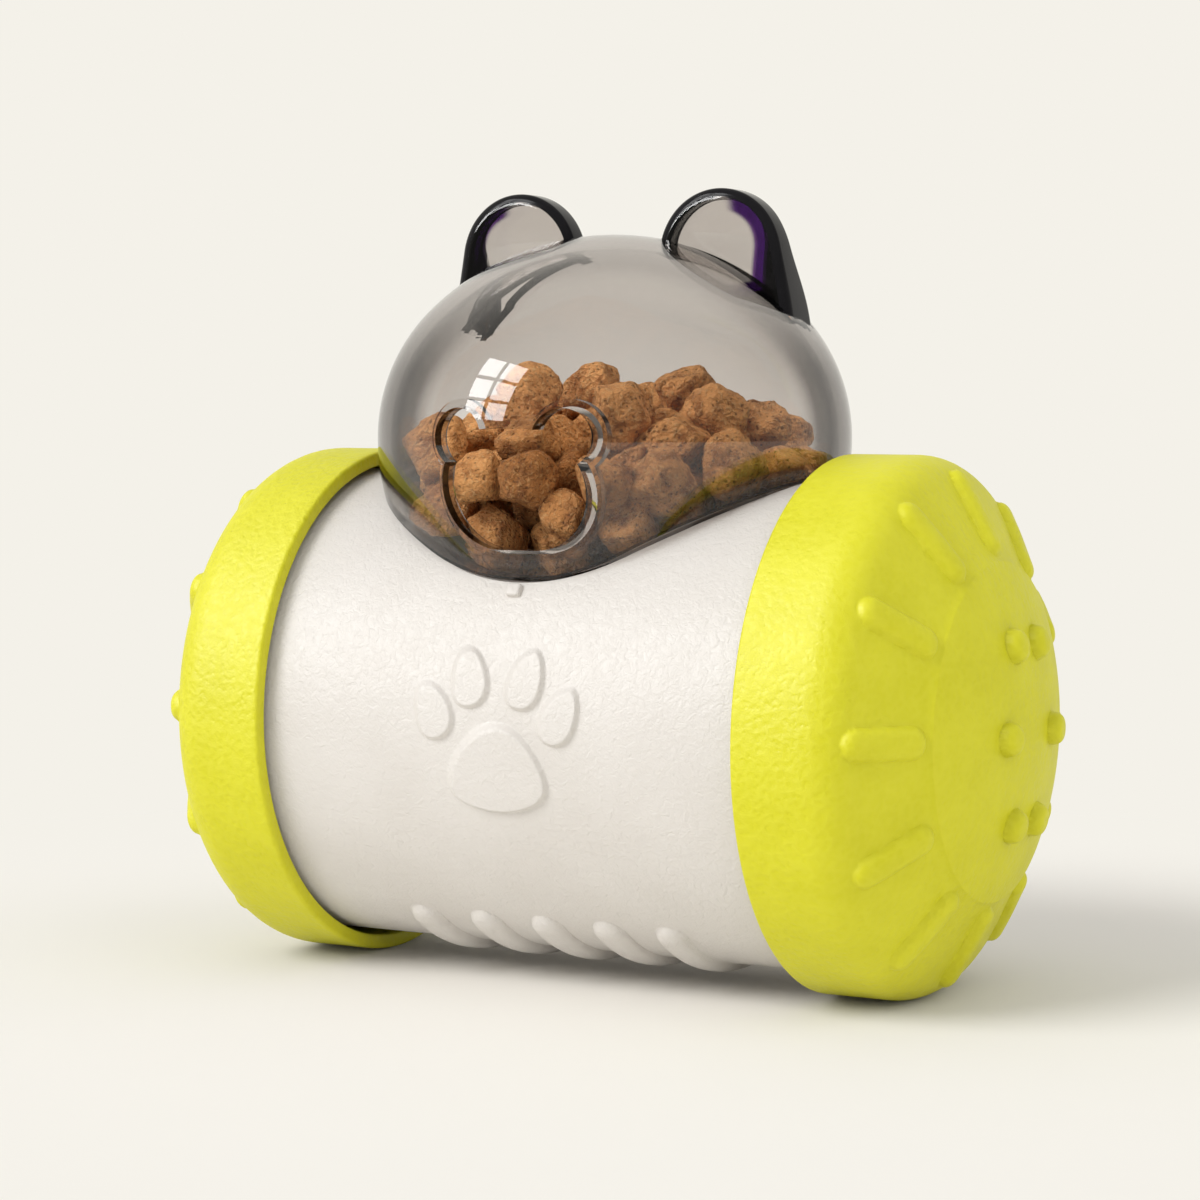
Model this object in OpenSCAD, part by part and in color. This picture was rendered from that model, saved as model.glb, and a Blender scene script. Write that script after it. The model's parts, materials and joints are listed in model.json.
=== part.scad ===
// Treat toy that rolls on two free wheels. A weight in the drum keeps the clear bear head upright.
// Millimetres. The origin is on the ground, below the middle of the drum.
// +X runs along the drum to the right wheel, -Y is the front with the outlet, +Z is up.

/* [Wheels] */
// Outer radius of both wheels
wheel_r = 40; // [36:0.5:46]
// Distance between the inner rims of the two wheels
rim_spacing = 78.4; // [74:0.2:90]
// Depth of a wheel from its rim to the middle of its face
wheel_depth = 29.4; // [28:0.2:34]
// Wall of the wheel moulding
wheel_wall = 2.2; // [1.8:0.1:3]
// Gap between a wheel and the drum inside it
rim_gap = 1; // [0.5:0.1:2]
// Flats around the tread, for the patch where the soft rubber flattens on the floor
tread_flats = 48; // [40:4:52]
// Width of the tread, up to the corner that the shoulder rounds
tread_w = 14.5; // [12:0.5:16]
// Radius of the shoulder between tread and cone
shoulder_r = 7; // [4:0.5:9]
// Radius of the ring where the cone meets the domed face
face_r = 25; // [22:0.5:28]
// Height of the domed face above that ring
face_bulge = 5.6; // [4.5:0.1:6]

/* [Grip] */
// Number of ribs on the cone of a wheel
grip_ribs = 12; // [6:1:16]
// Turn of the ring of ribs, front upwards
grip_turn = 2; // [-15:1:15]
// Length of a rib on the cone
grip_rib_l = 14.5; // [8:0.5:16]
// Distance of a rib's inner end from the ring where the cone meets the face
grip_rib_in = 0.4; // [0:0.1:3]
// Width of every moulded rib
rib_w = 4.2; // [3:0.1:5]
// Height of every moulded rib above its surface
rib_h = 1.2; // [0.8:0.1:1.8]
// Number of nubs on the face of a wheel
nub_count = 6; // [4:1:8]
// Diameter of a nub
nub_d = 4.4; // [3:0.1:6]
// Half width of the oval ring of nubs
nub_ring_w = 8.6; // [7:0.1:13]
// Half height of the oval ring of nubs
nub_ring_h = 14.9; // [10:0.1:17]

/* [Drum] */
// Wall of the drum
drum_wall = 2.4; // [2.2:0.1:3.2]
// Length of drum that each wheel covers
drum_tuck = 7; // [6:0.1:9]
// Number of ribs under the drum
keel_ribs = 5; // [3:1:6]
// Distance between the ribs under the drum
keel_rib_pitch = 10.5; // [8:0.1:12]
// Half length of the ribs under the drum, from front to back
keel_rib_half_l = 23.2; // [15:0.1:26]
// Width of the tab below the cover
tab_w = 2.2; // [1.5:0.1:4]
// Length of that tab around the drum
tab_l = 2; // [1.5:0.1:4]
// Height of that tab above the drum
tab_h = 0.8; // [0.5:0.1:1.5]
// Bare stretch between the cover's edge and that tab
tab_gap = 0.9; // [0.5:0.1:3]

/* [Paw print] */
// Height of the paw print above the drum
paw_h = 0.8; // [0.4:0.1:1.5]
// Height of the paw's middle below the axle
paw_drop = 5.5; // [0:0.1:8]
// Half width of the pad
pad_half_w = 8.7; // [7:0.1:10]
// Distance of the pad's lower side from the paw's middle
pad_down = 6; // [5:0.1:7]
// Distance of the pad's two upper sides from the paw's middle
pad_up = 6.9; // [6:0.1:7.5]
// Radius of the pad's bulging sides
pad_side_r = 16; // [12:0.5:20]
// Slope of the pad's upper sides
pad_slope = 45; // [35:1:55]
// Length of a toe
toe_l = 8.6; // [7:0.1:10]
// Radius of a toe's wide end
toe_r = 3; // [2.5:0.1:3.3]
// Radius of a toe's narrow end
toe_tip_r = 2.3; // [1.8:0.1:2.4]
// Distance of an inner toe from the paw's middle line
inner_toe_x = 4.6; // [4:0.1:6]
// Height of an inner toe above the paw's middle
inner_toe_z = 13.5; // [13:0.1:16]
// Lean of an inner toe
inner_toe_lean = 14; // [0:1:25]
// Distance of an outer toe from the paw's middle line
outer_toe_x = 11.2; // [10.8:0.1:13]
// Height of an outer toe above the paw's middle
outer_toe_z = 8.6; // [8:0.1:11]
// Lean of an outer toe
outer_toe_lean = 25; // [10:1:40]

/* [Cover] */
// Wall of the cover
cover_wall = 2; // [1.5:0.1:2.6]
// Distance from the widest ring of the dome to the wheel rims beside it
cover_side_gap = 2.9; // [2:0.1:5]
// Height of the widest ring of the dome above the axle
dome_rise = 42; // [40:0.5:46]
// Height of the dome above its widest ring
dome_h = 31; // [29:0.5:36]
// Radius of the dome's side, where it turns in above the widest ring
dome_side_r = 27.5; // [22:0.5:28.5]
// Radius of the rounded bottom of the V-shaped lower edge
edge_r = 34; // [26:0.5:36]
// Run of the lower edge past the widest ring, to the top of the drum
edge_overrun = 1.1; // [0.5:0.1:2]
// Gap between the cover's lower edge and the drum
seat_gap = 0.3; // [0.2:0.05:0.6]
// Thickness of the flange inside the lower edge
flange_t = 1.6; // [1.2:0.1:2.4]
// Depth of the locating skirt below the flange
skirt_depth = 3; // [2:0.1:4]
// Wall of the locating skirt
skirt_wall = 1.6; // [1.2:0.1:2]
// Clearance of the skirt inside the drum's opening, front and back
skirt_gap = 0.55; // [0.4:0.05:1]
// Clearance of the skirt inside the drum's opening, at its ends
skirt_end_gap = 0.85; // [0.6:0.05:1.5]
// Radius of the skirt's ends
skirt_end_r = 14; // [11:0.5:16]

/* [Ears] */
// Radius of an ear
ear_r = 9.4; // [8:0.1:11]
// Thickness of an ear
ear_t = 11; // [8:0.1:13]
// Radius of the round edge of an ear
ear_edge_r = 4; // [2.5:0.1:4]
// Wall of an ear
ear_wall = 1.8; // [1.4:0.1:2.2]
// Distance of an ear from the middle of the dome
ear_x = 17.3; // [14:0.1:20]
// Distance of the ears behind the middle of the dome
ear_back = 3; // [0:0.1:6]
// Height of an ear's middle above the widest ring of the dome
ear_rise = 28.3; // [26:0.1:30]
// Distance that an ear runs on below that middle, into the dome
ear_drop = 12.5; // [12:0.1:13]
// Lean of an ear's sides, outwards to its foot
ear_lean = 8; // [0:1:12]

/* [Outlet] */
// Half width of the bear head
outlet_half_w = 11.6; // [9.5:0.1:12.5]
// Half height of the bear head without its ears
outlet_half_h = 8.8; // [7.5:0.1:9.5]
// Distance of the bear head to the right of the dome's middle
outlet_x = 1.5; // [-3:0.1:3]
// Depth of the bear head's middle below the widest ring of the dome
outlet_drop = 6.9; // [5:0.1:8]
// Radius of the ears in the outlet
outlet_ear_r = 4.3; // [3:0.1:5]
// Distance of those ears from the middle line
outlet_ear_x = 8.4; // [7:0.1:9]
// Height of those ears above the bear head's middle
outlet_ear_rise = 7.5; // [6:0.1:9]
// Depth of the collar, counted from the outside of the dome
collar_depth = 4.7; // [3:0.1:6]
// Wall of the collar
collar_wall = 1.4; // [1:0.1:2]

/* [Inside] */
// Thickness of an end plate
plate_t = 2.4; // [2:0.1:3.2]
// Depth of an end plate inside the end of the drum
plate_recess = 2.2; // [1.5:0.1:3]
// Step in the drum that an end plate sits against
plate_step = 1; // [0.8:0.1:1.2]
// Radius of the snap bead around an end plate
bead_r = 0.5; // [0.3:0.05:0.6]
// Clearance around pieces that are pushed together
push_gap = 0.1; // [0.05:0.01:0.15]
// Clearance around pieces that are laid in
loose_gap = 0.3; // [0.2:0.05:0.5]
// Radius of a stub shaft
stub_r = 4; // [3.5:0.1:4.4]
// Radial clearance of a stub shaft in its bush
running_gap = 0.05; // [0.02:0.01:0.1]
// End play of a stub shaft
end_play = 0.2; // [0.15:0.05:0.4]
// Wall of a bush
bush_wall = 1.95; // [1.2:0.05:2.2]
// Length of a bush without its flange
bush_l = 8; // [6:0.5:9]
// Thickness of a bush's flange
bush_flange_t = 1.2; // [1:0.1:1.6]
// Width of a bush's flange
bush_flange_w = 2; // [1.5:0.1:2.5]
// Wall of the boss around a bush
boss_wall = 2.5; // [1.5:0.1:2.5]
// Radius of a hub's disc
hub_r = 30; // [22:0.5:31]
// Thickness of a hub's disc
hub_t = 2.4; // [2:0.1:3]
// Gap between the end of the drum and a hub's disc
hub_gap = 3; // [2.4:0.1:4]
// Radius of the ring of posts that hold a hub
post_ring_r = 14; // [12:0.5:17]
// Number of posts that hold a hub
post_count = 3; // [3:1:6]
// Radius of a post
post_r = 3.5; // [3:0.1:4.5]
// Thickness of a thrust washer
washer_t = 1.2; // [0.8:0.1:1.6]
// Radius of a thrust washer
washer_r = 7.5; // [7:0.1:8]
// Thickness of the food tray
tray_t = 1.8; // [1.4:0.1:2.2]
// Height of the tray's flat edges above the axle
tray_rise = 15; // [14.5:0.1:15.5]
// Half width of the hollow in the tray
tray_half_w = 22; // [18:0.5:24]
// Depth of the hollow in the tray
tray_hollow = 6; // [4:0.1:6]
// Width of the rails that carry the tray
rail_w = 3.5; // [2.5:0.1:5]
// Thickness of those rails
rail_t = 2; // [1.5:0.1:3]
// Height of the counterweight
weight_h = 9; // [7:0.1:11]
// Length of the counterweight
weight_l = 56; // [48:0.5:62]
// Distance of the weight's bosses from the middle
weight_boss_x = 16; // [10:0.5:18]
// Length of the plate over the weight
weight_cover_l = 60; // [52:0.5:66]
// Width of the plate over the weight
weight_cover_w = 42; // [34:0.5:43]
// Thickness of the plate over the weight
weight_cover_t = 2; // [1.6:0.1:3]

/* [Screws] */
// Shank radius of every screw
screw_r = 1.45; // [1.2:0.05:1.6]
// Head radius of every screw
screw_head_r = 2.8; // [2.5:0.1:3.2]
// Head height of every screw
screw_head_h = 2; // [1.6:0.1:2.3]
// Length of the axle screws
axle_screw_l = 10; // [8:0.5:14]
// Length of the hub screws
hub_screw_l = 10; // [8:0.5:11]
// Length of the weight screws
weight_screw_l = 9; // [7:0.5:10]
// Clearance of a screw in a hole that it only passes through
screw_hole_gap = 0.25; // [0.1:0.05:0.4]
// Clearance of a screw in the hole that it cuts its thread in
thread_gap = 0.05; // [0.02:0.01:0.1]

/* [Hidden] */
$fn = 96;

// Longer than anything that a cutting shape has to pass through
far = 4 * wheel_r;
// Overlap that joins two shapes of one moulding
weld = 0.5;

// Heights and radii
axle_z = wheel_r;
drum_r = wheel_r - wheel_wall - rim_gap;
drum_bore_r = drum_r - drum_wall;
cover_r = rim_spacing / 2 - cover_side_gap;
dome_z = axle_z + dome_rise;
ear_z = dome_z + ear_rise;

// Stations along the axle, from the middle of the drum to the right
rim_x = rim_spacing / 2;
drum_end_x = rim_x + drum_tuck;
plate_out_x = drum_end_x - plate_recess;
plate_in_x = plate_out_x - plate_t;
bush_in_x = plate_out_x - bush_l;
bush_out_x = plate_out_x + bush_flange_t;
stub_in_x = bush_in_x - end_play;
washer_in_x = stub_in_x - washer_t;
hub_in_x = drum_end_x + hub_gap;
hub_out_x = hub_in_x + hub_t;

// Wheel profile: a tread, a cone and a spherical face
tread_r = wheel_r / cos(180 / tread_flats);
crease_depth = wheel_depth - face_bulge;
cone_angle = atan2(tread_r - face_r, crease_depth - tread_w);
cone_l = norm([tread_r - face_r, crease_depth - tread_w]);
face_sphere_r = (pow(face_r, 2) + pow(face_bulge, 2)) / (2 * face_bulge);
shoulder_trim = shoulder_r * tan(cone_angle / 2);
function face_depth(r) = wheel_depth - face_sphere_r + sqrt(pow(face_sphere_r, 2) - pow(r, 2));

// Lower edge of the cover: it touches the drum in front and climbs to the drum's top at the sides
edge_z = (axle_z + dome_z) / 2 + (pow(drum_r, 2) - pow(cover_r, 2)) / (2 * dome_rise);
edge_reach = cover_r + edge_overrun;
edge_climb = axle_z + drum_r - edge_z;
edge_angle = asin(edge_r / norm([edge_reach, edge_r - edge_climb])) - atan2(edge_r - edge_climb, edge_reach);
edge_turn_x = edge_r * sin(edge_angle);
edge_turn_z = edge_z + edge_r * (1 - cos(edge_angle));
// Where the lower edge crosses the top of the drum's bore
bore_cross_x = edge_turn_x + (axle_z + drum_bore_r - edge_turn_z) / tan(edge_angle);
skirt_half_l = bore_cross_x - skirt_end_gap;
skirt_half_w = sqrt(pow(drum_bore_r, 2) - pow(edge_z - axle_z, 2)) - skirt_gap;
tab_angle = acos((edge_z - axle_z) / drum_r) + (tab_gap + tab_l / 2) / drum_r * 180 / PI;

// Food tray and weight
tray_z = axle_z + tray_rise;
tray_top_z = tray_z + tray_t;
tray_hollow_r = (pow(tray_half_w, 2) + pow(tray_hollow, 2)) / (2 * tray_hollow);
tray_hollow_z = tray_top_z - tray_hollow + tray_hollow_r;
tray_half_l = plate_in_x - loose_gap;
drum_floor_z = axle_z - drum_bore_r;
weight_r = drum_bore_r - loose_gap;
weight_top_z = axle_z - weight_r + weight_h;

bush_r = stub_r + running_gap + bush_wall;
boss_r = bush_r + push_gap + boss_wall;
post_seat_depth = hub_out_x - rim_x;

drum_color = "#EFEBE4";
wheel_color = "#D6E61F";
cover_color = [0.45, 0.43, 0.43, 0.5];
plastic_color = "#D9D6CF";
bush_color = "#F4F1E8";
steel_color = "#B9BCBF";
iron_color = "#4A4A4C";

// Turns a shape that stands on +Z so that it lies on the axle and points to the right wheel
module on_axle(x = 0) {
    translate([x, 0, axle_z]) rotate([0, 90, 0]) children();
}

// Extrudes a front-to-back section, drawn as Y and Z, along the drum
module extrude_x(l) {
    rotate([90, 0, 90]) linear_extrude(l, center = true) children();
}

// Extrudes an outline, drawn as X and Z, from the front to the back
module extrude_y() {
    rotate([90, 0, 0]) linear_extrude(2 * far, center = true) children();
}

// Extrudes an outline, drawn as X and Z, from the middle to the front
module extrude_front() {
    rotate([90, 0, 0]) linear_extrude(far) children();
}

// Outline with round ends of two radii and bulging sides; the wide end is at the origin
module egg2d(r_wide, r_narrow, l, side_r) {
    k = (pow(l, 2) - pow(side_r - r_narrow, 2) + pow(side_r - r_wide, 2)) / (2 * l);
    e = sqrt(pow(side_r - r_wide, 2) - pow(k, 2));
    low = -k * r_wide / (side_r - r_wide);
    high = l + (l - k) * r_narrow / (side_r - r_narrow);
    circle(r_wide);
    translate([0, l]) circle(r_narrow);
    intersection() {
        translate([-e, k]) circle(side_r);
        translate([e, k]) circle(side_r);
        translate([-side_r, low]) square([2 * side_r, high - low]);
    }
}

// Four-arc oval, longest along X
module oval2d(half_l, half_w, end_r) {
    c = half_l - end_r;
    side_r = (pow(c, 2) + pow(half_w, 2) - pow(end_r, 2)) / (2 * (half_w - end_r));
    translate([-c, 0]) rotate(-90) egg2d(end_r, end_r, 2 * c, side_r);
}

// Stadium around two points
module stadium2d(p, q, r) {
    along = atan2(q[1] - p[1], q[0] - p[0]);
    translate(p) circle(r);
    translate(q) circle(r);
    translate(p) rotate(along) translate([0, -r]) square([norm(q - p), 2 * r]);
}

// Screw with a pan head; the head stands on the origin and the shank hangs below it
module screw(l) {
    slot_l = 1.3 * screw_head_r;
    slot_w = 0.25 * screw_head_r;
    slot_depth = 0.5 * screw_head_h;
    top_r = 0.8 * screw_head_r;
    difference() {
        union() {
            cylinder(h = screw_head_h, r1 = screw_head_r, r2 = top_r);
            translate([0, 0, -l]) cylinder(h = l + weld, r = screw_r);
        }
        for (turn = [0, 90])
            rotate(turn) translate([-slot_l / 2, -slot_w / 2, screw_head_h - slot_depth])
                cube([slot_l, slot_w, screw_head_h]);
    }
}

// Half section of the wheel's outside, drawn as radius and depth, moved inwards by an inset
module wheel_profile(inset) {
    slope = cone_angle - 90;
    out = [cos(cone_angle), sin(cone_angle)];
    arc_middle = [tread_r - shoulder_r, tread_w - shoulder_trim];
    difference() {
        intersection() {
            square([tread_r - inset, wheel_depth]);
            translate([tread_r, tread_w] - inset * out) rotate(slope)
                translate([-far, -far]) square([2 * far, far]);
            translate([0, wheel_depth - face_sphere_r]) circle(face_sphere_r - inset);
        }
        translate(arc_middle) difference() {
            polygon([[0, 0], [far, 0], far * out]);
            circle(shoulder_r - inset);
        }
    }
}

// Outline of the tread with its flats, one of them at the bottom
module tread2d() {
    turn = 360 / tread_flats;
    polygon([for (i = [0 : tread_flats - 1]) tread_r * [cos((i + 0.5) * turn), sin((i + 0.5) * turn)]]);
}

// Rib with round ends, half sunk; it lies along X with its crest at rib_h
module grip_rib() {
    half_l = grip_rib_l / 2 - rib_w / 2;
    translate([0, 0, rib_h - rib_w / 2]) rotate([0, 90, 0]) rotate_extrude() intersection() {
        stadium2d([0, -half_l], [0, half_l], rib_w / 2);
        translate([0, -far]) square([far, 2 * far]);
    }
}

// One wheel, standing on its rim, with its face on top
module wheel_moulding() {
    rib_at = cone_l - grip_rib_in - grip_rib_l / 2;
    rib_r = tread_r - rib_at * sin(cone_angle);
    rib_depth = tread_w + rib_at * cos(cone_angle);
    difference() {
        union() {
            intersection() {
                rotate_extrude() wheel_profile(0);
                translate([0, 0, -weld]) linear_extrude(far) tread2d();
            }
            for (i = [0 : grip_ribs - 1])
                rotate(i * 360 / grip_ribs - grip_turn) translate([rib_r, 0, rib_depth])
                    rotate([0, 90 - cone_angle, 0]) grip_rib();
            for (i = [0 : nub_count - 1]) {
                at = [nub_ring_h * sin(i * 360 / nub_count), nub_ring_w * cos(i * 360 / nub_count)];
                translate([at[0], at[1], face_depth(norm(at))]) sphere(d = nub_d);
            }
        }
        translate([0, 0, -weld]) cylinder(h = 2 * weld, r = tread_r - wheel_wall);
        rotate_extrude() wheel_profile(wheel_wall);
    }
    difference() {
        intersection() {
            rotate_extrude() wheel_profile(wheel_wall / 2);
            posts(post_seat_depth, far) circle(post_r);
        }
        posts(post_seat_depth - weld, hub_screw_l) circle(screw_r + thread_gap);
    }
}

// Columns on the ring of posts, from a depth upwards
module posts(depth, l) {
    for (i = [0 : post_count - 1])
        rotate(i * 360 / post_count) translate([post_ring_r, 0, depth]) linear_extrude(l) children();
}

module wheel() {
    color(wheel_color) on_axle(rim_x) wheel_moulding();
}

// Disc with posts' holes, a collar against the bush and the stub shaft
module hub() {
    color(plastic_color) on_axle() difference() {
        union() {
            translate([0, 0, hub_in_x]) cylinder(h = hub_t, r = hub_r);
            translate([0, 0, bush_out_x + end_play])
                cylinder(h = hub_out_x - bush_out_x - end_play, r = bush_r + bush_flange_w / 2);
            translate([0, 0, stub_in_x]) cylinder(h = hub_out_x - stub_in_x, r = stub_r);
        }
        posts(hub_in_x - weld, hub_t + 2 * weld) circle(screw_r + screw_hole_gap);
        translate([0, 0, stub_in_x - weld]) cylinder(h = axle_screw_l + weld, r = screw_r + thread_gap);
    }
}

module hub_screws() {
    color(steel_color) on_axle() for (i = [0 : post_count - 1])
        rotate(i * 360 / post_count) translate([post_ring_r, 0, hub_in_x])
            rotate([180, 0, 0]) screw(hub_screw_l);
}

module thrust_washer() {
    color(steel_color) on_axle(washer_in_x) difference() {
        cylinder(h = washer_t, r = washer_r);
        translate([0, 0, -weld]) cylinder(h = washer_t + 2 * weld, r = screw_r + screw_hole_gap);
    }
}

module axle_screw() {
    color(steel_color) on_axle(washer_in_x) rotate([180, 0, 0]) screw(axle_screw_l);
}

module end_plate() {
    plate_r = drum_bore_r + plate_step - push_gap;
    color(plastic_color) on_axle() rotate_extrude() difference() {
        union() {
            translate([0, plate_in_x]) square([plate_r, plate_t]);
            translate([0, bush_in_x]) square([boss_r, plate_out_x - bush_in_x]);
            translate([plate_r, plate_in_x + plate_t / 2]) circle(bead_r);
        }
        translate([0, bush_in_x - weld]) square([bush_r + push_gap / 2, bush_l + 2 * weld]);
    }
}

module bush() {
    color(bush_color) on_axle() difference() {
        union() {
            translate([0, 0, bush_in_x]) cylinder(h = bush_l + weld, r = bush_r);
            translate([0, 0, plate_out_x]) cylinder(h = bush_flange_t, r = bush_r + bush_flange_w);
        }
        translate([0, 0, bush_in_x - weld])
            cylinder(h = bush_l + bush_flange_t + 2 * weld, r = stub_r + running_gap);
    }
}

// Region above the cover's lower edge, drawn as X and Z, lifted by a gap
module above_edge2d(lift) {
    side_z = edge_turn_z + (far - edge_turn_x) * tan(edge_angle);
    translate([0, lift]) {
        translate([0, edge_z + edge_r]) circle(edge_r);
        polygon([
            [-edge_turn_x, edge_turn_z], [edge_turn_x, edge_turn_z],
            [far, side_z], [far, 2 * far], [-far, 2 * far], [-far, side_z]
        ]);
    }
}

// Paw print, drawn as X and Z
module paw2d() {
    translate([0, axle_z - paw_drop]) {
        pad2d();
        for (side = [-1, 1]) {
            translate([side * inner_toe_x, inner_toe_z]) rotate(-side * inner_toe_lean) toe2d();
            translate([side * outer_toe_x, outer_toe_z]) rotate(-side * outer_toe_lean) toe2d();
        }
    }
}

// Pad with three bulging sides; the first circle takes its corners off
module pad2d() {
    intersection() {
        circle(pad_half_w);
        rotate(-90) translate([pad_down - pad_side_r, 0]) circle(pad_side_r);
        rotate(pad_slope) translate([pad_up - pad_side_r, 0]) circle(pad_side_r);
        rotate(180 - pad_slope) translate([pad_up - pad_side_r, 0]) circle(pad_side_r);
    }
}

module toe2d() {
    l = toe_l - toe_r - toe_tip_r;
    side_r = 1.5 * toe_l;
    translate([0, toe_r - toe_l / 2]) egg2d(toe_r, toe_tip_r, l, side_r);
}

// Ribs around the underside of the drum
module keel() {
    ends_w = rib_w + weld;
    for (i = [0 : keel_ribs - 1]) {
        x = (i - (keel_ribs - 1) / 2) * keel_rib_pitch;
        reach = keel_rib_half_l - ends_w / 2;
        intersection() {
            on_axle(x) rotate_extrude() translate([drum_r + rib_h - rib_w / 2, 0]) circle(d = rib_w);
            linear_extrude(axle_z) stadium2d([x, -reach], [x, reach], ends_w / 2);
        }
    }
}

// Hollow inside the drum, with the steps and grooves for the end plates
module drum_bore() {
    groove_r = drum_bore_r + plate_step - push_gap;
    on_axle() rotate_extrude() {
        translate([0, -far]) square([drum_bore_r, 2 * far]);
        for (side = [-1, 1]) {
            translate([0, side > 0 ? plate_in_x : -far])
                square([drum_bore_r + plate_step, far - plate_in_x]);
            translate([groove_r, side * (plate_in_x + plate_t / 2)]) circle(bead_r + push_gap);
        }
    }
}

module drum_shell() {
    boss_base_z = drum_floor_z - weld;
    boss_top_z = weight_top_z - loose_gap;
    color(drum_color) {
        difference() {
            union() {
                on_axle(-drum_end_x) cylinder(h = 2 * drum_end_x, r = drum_r);
                intersection() {
                    on_axle(-drum_end_x) cylinder(h = 2 * drum_end_x, r = drum_r + paw_h);
                    extrude_front() paw2d();
                }
                keel();
                translate([0, 0, axle_z]) rotate([tab_angle, 0, 0])
                    translate([-tab_w / 2, -tab_l / 2, drum_r - weld]) cube([tab_w, tab_l, tab_h + weld]);
            }
            drum_bore();
            intersection() {
                extrude_y() above_edge2d(0);
                cylinder(h = far, r = cover_r + seat_gap);
            }
        }
        extrude_x(2 * tray_half_l) for (side = [-1, 1]) intersection() {
            translate([0, axle_z]) circle(drum_bore_r + weld);
            translate([side * (rail_y() + far / 2), tray_z - rail_t / 2])
                square([far, rail_t], center = true);
        }
        for (side = [-1, 1]) difference() {
            translate([side * weight_boss_x, 0, boss_base_z])
                cylinder(h = boss_top_z - boss_base_z, r = post_r);
            translate([side * weight_boss_x, 0, weight_cover_top_z() - weight_screw_l - loose_gap])
                cylinder(h = weight_screw_l, r = screw_r + thread_gap);
        }
    }
}

// Inner edge of the rails under the food tray
function rail_y() = sqrt(pow(drum_bore_r, 2) - pow(tray_rise, 2)) - rail_w;
function weight_cover_top_z() = weight_top_z + weight_cover_t;

module food_tray() {
    color(plastic_color) extrude_x(2 * tray_half_l) difference() {
        union() {
            intersection() {
                translate([0, axle_z]) circle(drum_bore_r - loose_gap);
                translate([-far, tray_z]) square([2 * far, tray_t]);
            }
            intersection() {
                translate([0, tray_hollow_z]) circle(tray_hollow_r + tray_t);
                translate([-tray_half_w, 0]) square([2 * tray_half_w, tray_top_z]);
            }
        }
        translate([0, tray_hollow_z]) circle(tray_hollow_r);
    }
}

module counterweight() {
    color(iron_color) difference() {
        extrude_x(weight_l) intersection() {
            translate([0, axle_z]) circle(weight_r);
            translate([-far, 0]) square([2 * far, weight_top_z]);
        }
        for (side = [-1, 1])
            translate([side * weight_boss_x, 0, 0]) cylinder(h = axle_z, r = post_r + loose_gap);
    }
}

module weight_cover() {
    corner_r = 4 * weight_cover_t;
    flat_l = weight_cover_l / 2 - corner_r;
    flat_w = weight_cover_w / 2 - corner_r;
    color(plastic_color) translate([0, 0, weight_top_z]) linear_extrude(weight_cover_t) difference() {
        union() {
            square([2 * flat_l, weight_cover_w], center = true);
            square([weight_cover_l, 2 * flat_w], center = true);
            for (x = [-flat_l, flat_l], y = [-flat_w, flat_w])
                translate([x, y]) circle(corner_r);
        }
        for (side = [-1, 1])
            translate([side * weight_boss_x, 0]) circle(screw_r + screw_hole_gap);
    }
}

module weight_screws() {
    color(steel_color) for (side = [-1, 1])
        translate([side * weight_boss_x, 0, weight_cover_top_z()]) screw(weight_screw_l);
}

// Dome without its wall: a sphere below the widest ring and two tangent arcs above it
module dome(inset) {
    side_x = cover_r - dome_side_r;
    crown_r = (pow(side_x, 2) + pow(dome_h, 2) - pow(dome_side_r, 2)) / (2 * (dome_h - dome_side_r));
    crown_z = dome_h - crown_r;
    join = far * [side_x, -crown_z] / norm([side_x, crown_z]);
    translate([0, 0, dome_z]) rotate_extrude() {
        intersection() {
            circle(cover_r - inset);
            translate([0, -far]) square([far, far]);
        }
        intersection() {
            translate([side_x, 0]) circle(dome_side_r - inset);
            square([far, far]);
        }
        intersection() {
            translate([0, crown_z]) circle(crown_r - inset);
            polygon([[0, crown_z], [0, crown_z] + join, [0, far]]);
            square([far, far]);
        }
    }
}

// Half section of an ear from its middle line outwards, with round edges
module ear_half2d(inset) {
    r = ear_r - inset;
    half_t = ear_t / 2 - inset;
    edge_r = ear_edge_r - inset;
    translate([0, -half_t]) square([r - edge_r, 2 * half_t]);
    translate([0, edge_r - half_t]) square([r, 2 * (half_t - edge_r)]);
    for (side = [-1, 1])
        translate([r - edge_r, side * (half_t - edge_r)]) circle(edge_r);
}

// One ear, round on top, with straight sides down to its foot in the dome
module ear(inset) {
    translate([0, ear_back, ear_z]) rotate([0, -ear_lean, 0]) {
        rotate([90, 0, 0]) rotate_extrude(angle = 180) ear_half2d(inset);
        translate([0, 0, -ear_drop]) linear_extrude(ear_drop) {
            ear_half2d(inset);
            mirror([1, 0]) ear_half2d(inset);
        }
    }
}

module head(wall, ear_inset) {
    dome(wall);
    for (side = [0, 1])
        mirror([side, 0, 0]) translate([ear_x, 0, 0]) ear(ear_inset);
}

// Bear-head outlet, drawn as X and Z, grown by a margin
module outlet2d(grow) {
    cheek_x = outlet_half_w - outlet_half_h;
    translate([outlet_x, dome_z - outlet_drop]) {
        stadium2d([-cheek_x, 0], [cheek_x, 0], outlet_half_h + grow);
        for (side = [-1, 1])
            translate([side * outlet_ear_x, outlet_ear_rise]) circle(outlet_ear_r + grow);
    }
}

module skirt2d(inset) {
    oval2d(skirt_half_l - inset, skirt_half_w - inset, skirt_end_r - inset);
}

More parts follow.
